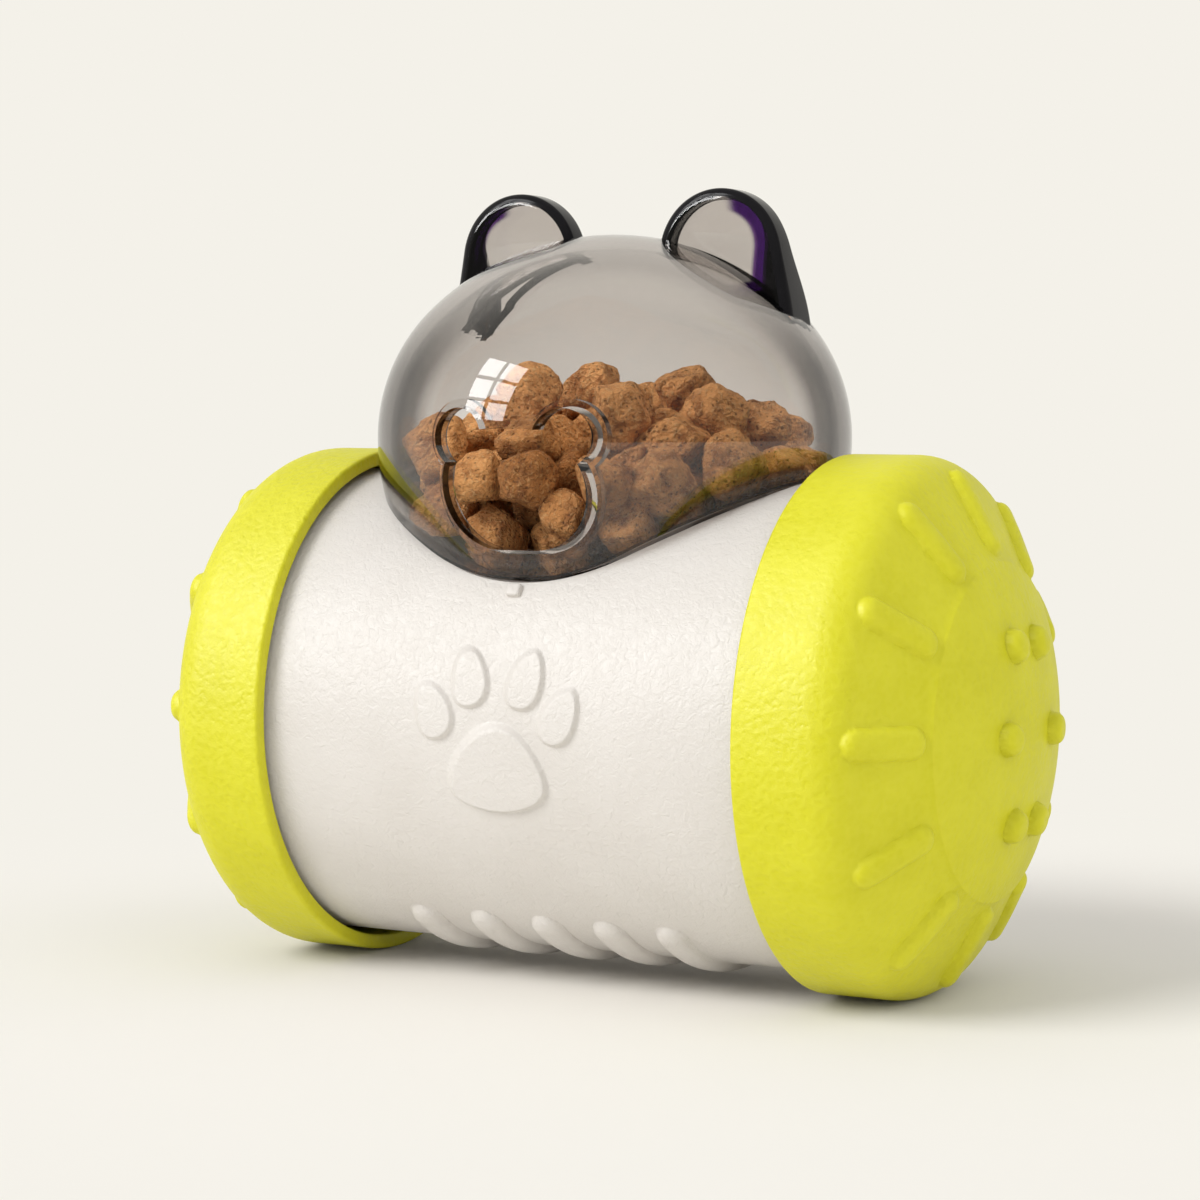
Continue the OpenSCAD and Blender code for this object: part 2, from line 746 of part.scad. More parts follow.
module cover() {
    color(cover_color) difference() {
        union() {
            intersection() {
                difference() {
                    head(0, 0);
                    head(cover_wall, ear_wall);
                }
                extrude_y() above_edge2d(seat_gap);
            }
            // Flange on the drum's edge, with the skirt that drops into the opening
            intersection() {
                dome(0);
                extrude_y() difference() {
                    above_edge2d(seat_gap);
                    above_edge2d(seat_gap + flange_t);
                }
                linear_extrude(far) difference() {
                    square(far, center = true);
                    skirt2d(skirt_wall);
                }
            }
            intersection() {
                linear_extrude(far) difference() {
                    skirt2d(0);
                    skirt2d(skirt_wall);
                }
                extrude_y() difference() {
                    above_edge2d(seat_gap - skirt_depth);
                    above_edge2d(seat_gap + flange_t);
                }
            }
            intersection() {
                difference() {
                    dome(0);
                    dome(collar_depth);
                }
                extrude_front() outlet2d(collar_wall);
            }
        }
        extrude_front() outlet2d(0);
    }
}

// The left side mirrors the right side
module left() {
    mirror([1, 0, 0]) children();
}

drum_shell();
left() end_plate();  // left_end_plate
end_plate();  // right_end_plate
left() bush();  // left_bush
bush();  // right_bush
food_tray();
counterweight();
weight_cover();
weight_screws();
left() wheel();  // left_wheel
left() hub();  // left_hub
left() hub_screws();  // left_hub_screws
left() thrust_washer();  // left_thrust_washer
left() axle_screw();  // left_axle_screw
wheel();  // right_wheel
hub();  // right_hub
hub_screws();  // right_hub_screws
thrust_washer();  // right_thrust_washer
axle_screw();  // right_axle_screw
cover();
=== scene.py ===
"""Looks of the rolling treat toy: wheels, drum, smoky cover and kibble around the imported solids."""

import json
import math

import bmesh
import bpy
import numpy as np
from mathutils import Matrix, Vector


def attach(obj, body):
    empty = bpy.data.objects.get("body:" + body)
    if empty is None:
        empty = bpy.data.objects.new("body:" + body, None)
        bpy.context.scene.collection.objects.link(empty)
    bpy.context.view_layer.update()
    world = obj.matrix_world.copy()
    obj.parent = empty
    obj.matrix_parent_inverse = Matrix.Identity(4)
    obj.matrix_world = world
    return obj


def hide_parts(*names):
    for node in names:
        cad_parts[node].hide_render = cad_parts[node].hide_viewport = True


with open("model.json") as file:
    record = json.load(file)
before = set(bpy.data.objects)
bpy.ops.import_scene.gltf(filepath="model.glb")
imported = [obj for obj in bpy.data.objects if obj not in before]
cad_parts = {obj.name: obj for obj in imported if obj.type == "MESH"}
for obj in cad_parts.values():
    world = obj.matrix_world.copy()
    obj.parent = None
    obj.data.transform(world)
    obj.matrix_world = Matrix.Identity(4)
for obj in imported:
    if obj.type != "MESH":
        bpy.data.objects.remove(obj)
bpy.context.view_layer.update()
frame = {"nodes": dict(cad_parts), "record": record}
rng = np.random.default_rng(7)

MM = 0.001
TINY = 1e-9

# Sizes in millimetres. Most are those of the solids; the ribs, ears, flange and collar differ a little
WHEEL_R = 39.98
AXLE_Z = 40.0
RIM_X = 39.2
WHEEL_DEPTH = 29.4
WHEEL_WALL = 2.2
TREAD_W = 14.5
SHOULDER_R = 7.0
FACE_R = 25.0
FACE_BULGE = 5.6
GRIP_RIBS = 12
GRIP_TURN = 2.0
GRIP_RIB_L = 14.2
GRIP_RIB_IN = 0.9
GRIP_RIB = (4.7, 1.3)
CREASE_STEP = 0.3
NUB_COUNT = 6
NUB_R = 2.2
NUB_FLARE = 0.25
NUB_H = 1.95
NUB_RING = (14.9, 8.6)
RIM_OUT_R = 0.6
RIM_IN_R = 0.35
RIM_START = 0.7
WHEEL_COLS = 720
POST_RING_R = 14.0
POST_COUNT = 3
POST_R = 3.5
POST_SEAT = 12.4
POST_CHAMFER = 0.3
POST_ROOT = 2.0
POST_HOLE_R = 1.5
POST_HOLE_L = 8.0
POST_COLS = 32

DRUM_R = 36.8
DRUM_BORE_R = 34.4
DRUM_END_X = 46.2
PLATE_IN_X = 41.6
PLATE_STEP = 1.0
GROOVE_X = 42.8
GROOVE_R = 0.6
KEEL_PITCH = 10.5
KEEL_RIBS = 5
KEEL_HALF_L = 23.2
KEEL_RIB = (5.4, 1.5)
DRUM_EDGE_R = 0.5
WALL_BITE = 0.5
TAB = (2.2, 2.0, 0.8)
TAB_ANGLE = 56.6
TAB_BEVEL = 0.35
PAW_H = 0.8
PAW_Z = AXLE_Z - 5.5
TOES = ((4.7, 13.5, 14), (10.6, 8.6, 26))
TOE_HALF_W = 3.15
TOE_HALF_L = 4.5
RAIL = (27.46, 53.0, 55.0, 41.3)
BOSS_X = 16.0
BOSS_TOP_Z = 14.6
BOSS_HOLE_Z = 7.6

COVER_R = 36.3
COVER_WALL = 2.0
COVER_COLS = 256
SKIN_GAP = 0.02
DOME_Z = 82.0
DOME_H = 31.0
DOME_SIDE_R = 27.5
SEAT_GAP = 0.3
EDGE_R = 34.0
EDGE_OVERRUN = 1.1
FLANGE_T = 0.9
SKIRT_DEPTH = 3.0
SKIRT_WALL = 1.6
SKIRT_GAP = 0.55
SKIRT_END_GAP = 0.85
SKIRT_END_R = 14.0
EAR_R = 10.1
EAR_T = 9.0
EAR_EDGE_R = 1.9
EAR_WALL = 1.5
EAR_X = 17.3
EAR_BACK = 4.5
EAR_Z = DOME_Z + 27.56
EAR_DROP = 12.5
EAR_LEAN = math.radians(8)
EAR_FRONT = EAR_BACK - EAR_T / 2
EAR_FLARE = 0.05
EAR_TOP_SHARE = 0.55
EAR_FOOT_SHARE = 0.45
EAR_TAPER_FROM = 4
EAR_TAPER_L = 16
EAR_RIM_W = 1.3
OUTLET_X = 1.5
OUTLET_Z = DOME_Z - 6.9
OUTLET_HALF_W = 11.6
OUTLET_HALF_H = 8.8
OUTLET_EAR = (8.4, 7.5, 4.3)
COLLAR_DEPTH = 3.2
COLLAR_WALL = 1.1
KIBBLE_COUNT = 124
KIBBLE_R = (4.1, 4.9)
HEAP_TOP = 95.5
HEAP_FALL = 0.011
HEAP_PULL = 0.021
SKIRT_ROOM = (27.0, 21.5)
SKIRT_ROOM_Z = 64
TRAY_R = 43.3
TRAY_Z = 50.8
FAR = 160.0


# Mesh helpers

def make_object(name, verts, faces):
    """A smooth mesh object from points in millimetres."""
    mesh = bpy.data.meshes.new(name)
    mesh.from_pydata((np.asarray(verts, float) * MM).tolist(), [], faces)
    work = bmesh.new()
    work.from_mesh(mesh)
    bmesh.ops.recalc_face_normals(work, faces=work.faces)
    work.to_mesh(mesh)
    work.free()
    mesh.shade_smooth()
    obj = bpy.data.objects.new(name, mesh)
    bpy.context.scene.collection.objects.link(obj)
    return obj


def grid_faces(rows, cols, wrap_rows=False):
    """Quads over rows of vertices whose columns close into rings."""
    i = np.arange(rows if wrap_rows else rows - 1)[:, None]
    j = np.arange(cols)[None, :]
    below, after = (i + 1) % rows, (j + 1) % cols
    quads = np.stack([i * cols + j, i * cols + after, below * cols + after, below * cols + j], -1)
    return quads.reshape(-1, 4).tolist()


def capped_faces(rows, cols):
    """Faces of a closed body of revolution: rings of vertices, then a first and a last pole."""
    faces = grid_faces(rows, cols)
    first, last, end = rows * cols, rows * cols + 1, (rows - 1) * cols
    for j in range(cols):
        after = (j + 1) % cols
        faces.append([first, after, j])
        faces.append([last, end + j, end + after])
    return faces


def revolve(name, profile, cols, place):
    """A closed body of revolution. Its profile of (height, radius) pairs starts and ends on the axis."""
    profile = np.asarray(profile, float)
    turn = np.linspace(0, 2 * math.pi, cols, endpoint=False)
    h, r = profile[1:-1, 0][:, None], profile[1:-1, 1][:, None]
    rings = place(h + 0 * turn, r * np.cos(turn), r * np.sin(turn)).reshape(-1, 3)
    poles = place(profile[[0, -1], 0], np.zeros(2), np.zeros(2)).reshape(-1, 3)
    return make_object(name, np.vstack([rings, poles]), capped_faces(len(h), cols))


def upright(x, y):
    """A place for a body of revolution that stands on a vertical axis."""
    return lambda h, a, b: np.stack([x + a, y + b, h], -1)


def prism(name, outline, low, high, place):
    """A closed prism over a flat outline."""
    n = len(outline)
    flat = np.asarray(outline, float)
    ends = [place(flat[:, 0], flat[:, 1], np.full(n, w)) for w in (low, high)]
    faces = grid_faces(2, n) + [list(range(n)), list(range(2 * n - 1, n - 1, -1))]
    return make_object(name, np.vstack(ends), faces)


def front_to_back(u, v, w):
    """Places an outline drawn as X and Z, and its depth along Y."""
    return np.stack([u, w, v], -1)


def bottom_to_top(u, v, w):
    """Places an outline drawn as X and Y, and its depth along Z."""
    return np.stack([u, v, w], -1)


def side_to_side(u, v, w):
    """Places an outline drawn as Y and Z, and its depth along X."""
    return np.stack([w, u, v], -1)


def arc(centre, r, start, end, steps):
    """Points on an arc, its angles in degrees."""
    t = np.radians(np.linspace(start, end, steps))
    return np.stack([centre[0] + r * np.cos(t), centre[1] + r * np.sin(t)], -1)


def apply_modifiers(obj):
    made = bpy.data.meshes.new_from_object(obj.evaluated_get(bpy.context.evaluated_depsgraph_get()))
    obj.modifiers.clear()
    obj.data = made


def boolean(body, tool, operation):
    """Joins, cuts or intersects a closed body with a second one, which is used up."""
    cut = body.modifiers.new("boolean", "BOOLEAN")
    cut.operation = operation
    cut.solver = "MANIFOLD"
    cut.object = tool
    apply_modifiers(body)
    bpy.data.objects.remove(tool)
    return body


def join(body, *others):
    """Adds the meshes of other objects to a body."""
    work = bmesh.new()
    for obj in (body, *others):
        work.from_mesh(obj.data)
    work.to_mesh(body.data)
    work.free()
    for obj in others:
        bpy.data.objects.remove(obj)


def finish_shading(obj, degrees):
    """Smooth faces with sharp edges where faces meet at more than an angle."""
    obj.data.shade_smooth()
    obj.data.set_sharp_from_angle(angle=math.radians(degrees))


def smooth_step(t):
    """A smooth rise from 0 to 1."""
    t = np.clip(t, 0, 1)
    return t * t * (3 - 2 * t)


def round_rib(d, width, height):
    """Height of a rib with a full round top and steep sides, over the distance from its middle line."""
    return height * np.clip(1 - (d / (width / 2)) ** 2.6, 0, 1) ** 0.62


def spaced(knots):
    """A rising list of numbers from (end, step) pairs; the first pair gives the start."""
    out = [knots[0][0]]
    for end, step in knots[1:]:
        n = max(1, round((end - out[-1]) / step))
        out.extend(np.linspace(out[-1], end, n + 1)[1:])
    return np.array(out)


# Wheels

def wheel_outline(inset):
    """The wheel's outside from the middle of its face to its rim, as depth and radius, moved inwards."""
    crease = WHEEL_DEPTH - FACE_BULGE
    sphere_r = (FACE_R ** 2 + FACE_BULGE ** 2) / (2 * FACE_BULGE)
    cone = math.atan2(WHEEL_R - FACE_R, crease - TREAD_W)
    trim = SHOULDER_R * math.tan(cone / 2)
    edge = math.asin(FACE_R / sphere_r)
    t = np.linspace(0, edge, 60)
    middle = WHEEL_DEPTH - sphere_r
    face = np.stack([middle + (sphere_r - inset) * np.cos(t), (sphere_r - inset) * np.sin(t)], -1)
    t = np.linspace(cone, 0, 20)
    r = SHOULDER_R - inset
    shoulder = np.stack([TREAD_W - trim + r * np.sin(t), WHEEL_R - SHOULDER_R + r * np.cos(t)], -1)
    return np.vstack([face, shoulder, [[0.0, WHEEL_R - inset]]])


def along(points, step):
    """Points at equal steps along a line, and their distances from its start."""
    s = np.concatenate([[0], np.cumsum(np.linalg.norm(np.diff(points, axis=0), axis=1))])
    t = np.linspace(0, s[-1], round(s[-1] / step) + 1)
    return np.stack([np.interp(t, s, points[:, k]) for k in (0, 1)], -1), t


def soften(points, reach):
    """Rounds the corners of an evenly stepped line over a number of steps; its ends stay."""
    kernel = np.hanning(2 * reach + 1)
    kernel /= kernel.sum()
    before = 2 * points[0] - points[reach:0:-1]
    after = 2 * points[-1] - points[-2:-reach - 2:-1]
    padded = np.vstack([before, points, after])
    return np.stack([np.convolve(padded[:, k], kernel, "valid") for k in (0, 1)], -1)


def wheel_relief(s, r, turn, crease_s):
    """Height of the ribs and nubs above the wheel, over distance from the middle and turn."""
    rib_s = crease_s + GRIP_RIB_IN + GRIP_RIB_L / 2
    half_l = (GRIP_RIB_L - GRIP_RIB[0]) / 2
    pitch = 2 * math.pi / GRIP_RIBS
    off = (turn + math.radians(GRIP_TURN) + pitch / 2) % pitch - pitch / 2
    d = np.hypot(np.maximum(np.abs(s - rib_s) - half_l, 0), r * off)
    past = s - crease_s
    step = smooth_step((past + 1.0) / 2.2) * (1 - smooth_step((past - 1.5) / 9))
    height = round_rib(d, *GRIP_RIB) - CREASE_STEP * step
    for i in range(NUB_COUNT):
        a = 2 * math.pi * i / NUB_COUNT
        down = r * np.cos(turn) - NUB_RING[0] * math.sin(a)
        back = r * np.sin(turn) - NUB_RING[1] * math.cos(a)
        nub = NUB_H * np.clip(1 - (np.hypot(down, back) / (NUB_R + NUB_FLARE)) ** 4, 0, 1) ** 0.5
        height = np.where(s < crease_s, np.maximum(height, nub), height)
    return height


def build_wheel(name, side):
    """One wheel moulding: its skin with ribs and nubs, its hollow and the posts for screws."""
    turn = np.linspace(0, 2 * math.pi, WHEEL_COLS, endpoint=False)
    fine, s = along(wheel_outline(0), 0.1)
    fine = soften(fine, 7)
    crease_s = s[np.argmin(np.abs(np.hypot(fine[:, 0] - WHEEL_DEPTH + FACE_BULGE, fine[:, 1] - FACE_R)))]
    at = spaced([
        (0, 0), (4, 1.0), (19, 0.22), (crease_s - 1, 0.6), (crease_s + 17, 0.22), (s[-1] - RIM_START, 0.9),
    ])
    slope = np.gradient(fine, s, axis=0)
    depth, r = (np.interp(at, s, fine[:, k]) for k in (0, 1))
    out_d, out_r = np.interp(at, s, slope[:, 1]), -np.interp(at, s, slope[:, 0])
    height = wheel_relief(at[1:, None], r[1:, None], turn[None, :], crease_s)
    skin = np.stack([depth[1:, None] + height * out_d[1:, None], r[1:, None] + height * out_r[1:, None]], -1)
    rim = np.vstack([
        arc((RIM_OUT_R, WHEEL_R - RIM_OUT_R), RIM_OUT_R, 90, 180, 6)[1:],
        arc((RIM_IN_R, WHEEL_R - WHEEL_WALL + RIM_IN_R), RIM_IN_R, 180, 270, 5),
    ])
    inner = along(wheel_outline(WHEEL_WALL), 0.5)[0][::-1][2:]
    inner = np.vstack([inner[:-1:4], inner[-1:]])
    rest = np.vstack([rim, inner[:-1]])
    rest = np.broadcast_to(rest[:, None, :], (len(rest), WHEEL_COLS, 2))
    rings = np.concatenate([skin, rest])

    def place(d, a, b):
        return np.stack([side * (RIM_X + d), b, AXLE_Z - a], -1)

    verts = place(rings[..., 0], rings[..., 1] * np.cos(turn), rings[..., 1] * np.sin(turn)).reshape(-1, 3)
    poles = place(np.array([depth[0], inner[-1, 0]]), np.zeros(2), np.zeros(2))
    wheel = make_object(name, np.vstack([verts, poles]), capped_faces(len(rings), WHEEL_COLS))

    roof = WHEEL_DEPTH - FACE_BULGE + POST_ROOT
    hole_end = POST_SEAT + POST_HOLE_L
    post = [
        (roof, 0), (roof, POST_R), (POST_SEAT + POST_CHAMFER, POST_R), (POST_SEAT, POST_R - POST_CHAMFER),
        (POST_SEAT, POST_HOLE_R), (hole_end, POST_HOLE_R), (hole_end, 0),
    ]
    posts = []
    for i in range(POST_COUNT):
        a = 2 * math.pi * i / POST_COUNT
        x, y = POST_RING_R * math.cos(a), POST_RING_R * math.sin(a)
        posts.append(revolve("post", post, POST_COLS, lambda d, u, v, x=x, y=y: place(d, x + u, y + v)))
    join(wheel, *posts)
    finish_shading(wheel, 50)
    return wheel


# Drum

def egg(x, z, lean, half_w, half_l):
    """Signed distance to an egg with its narrow end up, which leans to the right."""
    u = x * math.cos(lean) - z * math.sin(lean)
    v = x * math.sin(lean) + z * math.cos(lean)
    u = u * (1 + 0.05 * v)
    near = np.hypot(u / half_w, v / half_l)
    return near * (near - 1) / (np.hypot(u / half_w ** 2, v / half_l ** 2) + TINY)


def paw_distance(x, z):
    """Signed distance to the paw print, from its middle."""
    side_r, down, up, slope, blend = 16.0, 6.0, 6.9, math.radians(45), 1.3
    pad = 0
    for angle, reach in ((-math.pi / 2, down), (slope, up), (math.pi - slope, up)):
        off = reach - side_r
        side = np.hypot(x - off * math.cos(angle), z - off * math.sin(angle)) - side_r
        pad = pad + np.exp(np.clip(side / blend, -30, 30))
    found = blend * np.log(pad)
    for toe_x, toe_z, lean in TOES:
        for side in (-1, 1):
            toe = egg(x - side * toe_x, z - toe_z, side * math.radians(lean), TOE_HALF_W, TOE_HALF_L)
            found = np.minimum(found, toe)
    return found


def paw_height(x, z):
    """Height of the paw print; its edges are crisp on the lower right and soft on the upper left."""
    d, e = paw_distance(x, z), 0.05
    right = (paw_distance(x + e, z) - paw_distance(x - e, z)) / (2 * e)
    up = (paw_distance(x, z + e) - paw_distance(x, z - e)) / (2 * e)
    soft = 0.6 + 1.2 * smooth_step(0.2 + 0.64 * up - 0.77 * right)
    return PAW_H * smooth_step((0.22 - d) / soft)


def drum_relief(x, turn):
    """Height of the keel ribs and the paw print above the drum; the turn counts from below to the front."""
    y, z = -DRUM_R * np.sin(turn), AXLE_Z - DRUM_R * np.cos(turn)
    height = np.zeros(np.broadcast(x, turn).shape)
    for i in range(KEEL_RIBS):
        off = x - (i - (KEEL_RIBS - 1) / 2) * KEEL_PITCH
        run = np.maximum(np.abs(y) - (KEEL_HALF_L - KEEL_RIB[0] / 2), 0)
        rib = round_rib(np.hypot(off, run), *KEEL_RIB)
        height = np.maximum(height, np.where(z < AXLE_Z, rib, 0))
    return np.maximum(height, np.where(y < 0, paw_height(x, z - PAW_Z), 0))


def edge_line():
    """The lower edge of the cover over X: its lowest point, the ends of its round bottom and its slope."""
    low = (AXLE_Z + DOME_Z) / 2 + (DRUM_R ** 2 - COVER_R ** 2) / (2 * (DOME_Z - AXLE_Z))
    reach, climb = COVER_R + EDGE_OVERRUN, AXLE_Z + DRUM_R - low
    rise = EDGE_R - climb
    angle = math.asin(EDGE_R / math.hypot(reach, rise)) - math.atan2(rise, reach)
    return low, EDGE_R * math.sin(angle), angle


def above_edge(lift):
    """Outline of the region above the cover's lower edge, drawn as X and Z."""
    low, turn_x, angle = edge_line()
    low += lift
    turn_deg = math.degrees(angle)
    bottom = arc((0, low + EDGE_R), EDGE_R, -90 - turn_deg, -90 + turn_deg, 48)
    side_z = bottom[-1, 1] + (FAR - turn_x) * math.tan(angle)
    return np.vstack([[[-FAR, side_z]], bottom, [[FAR, side_z], [FAR, 2 * FAR], [-FAR, 2 * FAR]]])


def build_tab():
    """The small raised tab on the drum below the cover."""
    tilt = math.radians(TAB_ANGLE)
    half_w, half_l, height = TAB[0] / 2, TAB[1] / 2, TAB[2]
    outline = [(-half_w, -half_l), (half_w, -half_l), (half_w, half_l), (-half_w, half_l)]

    def on_drum(u, v, d):
        r = DRUM_R + d
        y = -r * math.sin(tilt) + v * math.cos(tilt)
        z = AXLE_Z + r * math.cos(tilt) + v * math.sin(tilt)
        return np.stack([u, y, z], -1)

    tab = prism("tab", outline, -WALL_BITE, height, on_drum)
    bevel = tab.modifiers.new("bevel", "BEVEL")
    bevel.width = TAB_BEVEL * MM
    bevel.segments = 3
    apply_modifiers(tab)
    return tab


def build_fittings():
    """Inside the drum: the rails of the food tray and the bosses of the weight cover."""
    inside, low, high, half_l = RAIL
    made = []
    for side in (-1, 1):
        wall = [math.sqrt((DRUM_BORE_R + WALL_BITE) ** 2 - (z - AXLE_Z) ** 2) for z in (low, high)]
        outline = [(side * inside, low), (side * wall[0], low), (side * wall[1], high), (side * inside, high)]
        made.append(prism("rail", outline, -half_l, half_l, side_to_side))
    base = AXLE_Z - DRUM_BORE_R - WALL_BITE
    boss = [
        (base, 0), (base, POST_R), (BOSS_TOP_Z, POST_R), (BOSS_TOP_Z, POST_HOLE_R),
        (BOSS_HOLE_Z, POST_HOLE_R), (BOSS_HOLE_Z, 0),
    ]
    for side in (-1, 1):
        made.append(revolve("boss", boss, POST_COLS, upright(side * BOSS_X, 0)))
    return made


def build_drum():
    """The drum moulding: a tube with ribs, paw print and tab, and the opening that the cover sits in."""
    fine_x = spaced([(0, 0), (16.5, 0.15), (24, 0.35), (DRUM_END_X - DRUM_EDGE_R, 1.1)])
    x = np.concatenate([-fine_x[:0:-1], fine_x])
    degrees = spaced([(-180, 0), (-46, 3.2), (-30, 0.4), (30, 1.0), (60, 0.4), (112, 0.24), (180, 3.2)])
    turn = np.radians(degrees[:-1])
    r = DRUM_R + drum_relief(x[:, None], turn[None, :])
    edge = arc((DRUM_END_X - DRUM_EDGE_R, DRUM_R - DRUM_EDGE_R), DRUM_EDGE_R, 90, 0, 5)[1:]
    step_r = DRUM_BORE_R + PLATE_STEP
    groove = arc((GROOVE_X, step_r), GROOVE_R, 0, 180, 7)
    lip = np.vstack([edge, [[DRUM_END_X, step_r]], groove, [[PLATE_IN_X, step_r], [PLATE_IN_X, DRUM_BORE_R]]])
    bore_x = np.linspace(PLATE_IN_X, -PLATE_IN_X, 60)[1:-1]
    bore = np.stack([bore_x, np.full(len(bore_x), DRUM_BORE_R)], -1)
    rest = np.vstack([lip, bore, lip[::-1] * (-1, 1)])
    all_x = np.concatenate([np.repeat(x[:, None], len(turn), 1), np.repeat(rest[:, :1], len(turn), 1)])
    all_r = np.concatenate([r, np.repeat(rest[:, 1:], len(turn), 1)])
    verts = np.stack([all_x, -all_r * np.sin(turn), AXLE_Z - all_r * np.cos(turn)], -1).reshape(-1, 3)
    drum = make_object("drum_moulding", verts, grid_faces(len(all_x), len(turn), wrap_rows=True))

    mouth = prism("mouth", above_edge(0), -FAR, FAR, front_to_back)
    well_r = COVER_R + SEAT_GAP
    well = revolve("well", [(0, 0), (0, well_r), (FAR, well_r), (FAR, 0)], COVER_COLS, upright(0, 0))
    boolean(drum, boolean(mouth, well, "INTERSECT"), "DIFFERENCE")
    join(drum, build_tab(), *build_fittings())
    finish_shading(drum, 40)
    return drum


# Cover

def dome_body(inset):
    """The dome without its wall: a sphere below its widest ring and two tangent arcs above it."""
    side_x = COVER_R - DOME_SIDE_R
    crown_r = (side_x ** 2 + DOME_H ** 2 - DOME_SIDE_R ** 2) / (2 * (DOME_H - DOME_SIDE_R))
    crown_z = DOME_H - crown_r
    meet = math.degrees(math.atan2(-crown_z, side_x))
    low = arc((0, 0), COVER_R - inset, -90, 0, 60)
    side = arc((side_x, 0), DOME_SIDE_R - inset, 0, meet, 40)[1:]
    crown = arc((0, crown_z), crown_r - inset, meet, 90, 40)[1:]
    outline = np.vstack([low, side, crown])
    profile = np.stack([DOME_Z + outline[:, 1], np.maximum(outline[:, 0], 0)], -1)
    return revolve("dome", profile, COVER_COLS, upright(0, 0))


def ear_flare(up):
    """How much wider an ear gets towards its foot."""
    return 1 + EAR_FLARE * smooth_step((3 - up) / 13)


def ear_taper(up):
    """How much thinner an ear gets towards its top."""
    return EAR_TOP_SHARE + EAR_FOOT_SHARE * smooth_step((EAR_TAPER_FROM - up) / EAR_TAPER_L)


def ear_body(side, inset):
    """One ear: round on top with straight sides down to its foot in the dome, and round edges."""
    r, half_t, edge = EAR_R - inset, EAR_T / 2 - inset, EAR_EDGE_R - inset
    section = np.vstack([
        arc((r - edge, edge - half_t), edge, -90, 0, 20),
        arc((r - edge, half_t - edge), edge, 0, 90, 20),
    ])
    side_up = np.linspace(-EAR_DROP, 0, 16)[:-1]
    rings = []
    for reach, back in section:
        right_side = np.stack([np.full(len(side_up), reach), side_up], -1)
        outline = np.vstack([right_side, arc((0, 0), reach, 0, 180, 90), right_side[::-1] * (-1, 1)])
        across, up = outline.T
        across = across * ear_flare(up)
        back = inset - EAR_T / 2 + (0.5 + back / (2 * half_t)) * (EAR_T * ear_taper(up) - 2 * inset)
        x = EAR_X + across * math.cos(EAR_LEAN) - up * math.sin(EAR_LEAN)
        z = EAR_Z + across * math.sin(EAR_LEAN) + up * math.cos(EAR_LEAN)
        rings.append(np.stack([side * x, EAR_BACK + back, z], -1))
    n = len(rings[0])
    end = (len(rings) - 1) * n
    faces = grid_faces(len(rings), n) + [list(range(n)), list(range(end, end + n))]
    return make_object("ear", np.vstack(rings), faces)


def head_body(wall, ear_wall):
    """The dome and its ears as one body, moved inwards by their walls."""
    head = dome_body(wall)
    for side in (-1, 1):
        boolean(head, ear_body(side, ear_wall), "UNION")
    return head


def outlet_body(grow):
    """The bear-head outlet as a bar from the middle of the dome to the front."""
    cheek = OUTLET_HALF_W - OUTLET_HALF_H
    ear_x, ear_rise, ear_r = OUTLET_EAR
    r = OUTLET_HALF_H + grow
    outline = np.vstack([arc((-cheek, 0), r, 90, 270, 64), arc((cheek, 0), r, -90, 90, 64)])
    body = prism("outlet", outline + (OUTLET_X, OUTLET_Z), -FAR, 0, front_to_back)
    for side in (-1, 1):
        ring = arc((OUTLET_X + side * ear_x, OUTLET_Z + ear_rise), ear_r + grow, 0, 360, 65)[:-1]
        boolean(body, prism("outlet_ear", ring, -FAR - side, 1.0, front_to_back), "UNION")
    return body


def skirt_outline(inset):
    """Four-arc oval of the skirt that drops into the drum's opening, drawn as X and Y."""
    low, turn_x, angle = edge_line()
    bottom_rise = EDGE_R * (1 - math.cos(angle))
    cross = turn_x + (AXLE_Z + DRUM_BORE_R - low - bottom_rise) / math.tan(angle)
    half_l = cross - SKIRT_END_GAP - inset
    half_w = math.sqrt(DRUM_BORE_R ** 2 - (low - AXLE_Z) ** 2) - SKIRT_GAP - inset
    end_r = SKIRT_END_R - inset
    c = half_l - end_r
    side_r = (c ** 2 + half_w ** 2 - end_r ** 2) / (2 * (half_w - end_r))
    lean = math.degrees(math.atan2(c, side_r - half_w))
    return np.vstack([
        arc((0, half_w - side_r), side_r, 90 - lean, 90 + lean, 48)[:-1],
        arc((-c, 0), end_r, 90 + lean, 270 - lean, 48)[:-1],
        arc((0, side_r - half_w), side_r, 270 - lean, 270 + lean, 48)[:-1],
        arc((c, 0), end_r, lean - 90, 90 - lean, 48)[:-1],
    ])


def above_body(lift):
    """Everything above the cover's lower edge."""
    return prism("above", above_edge(lift), -FAR, FAR, front_to_back)


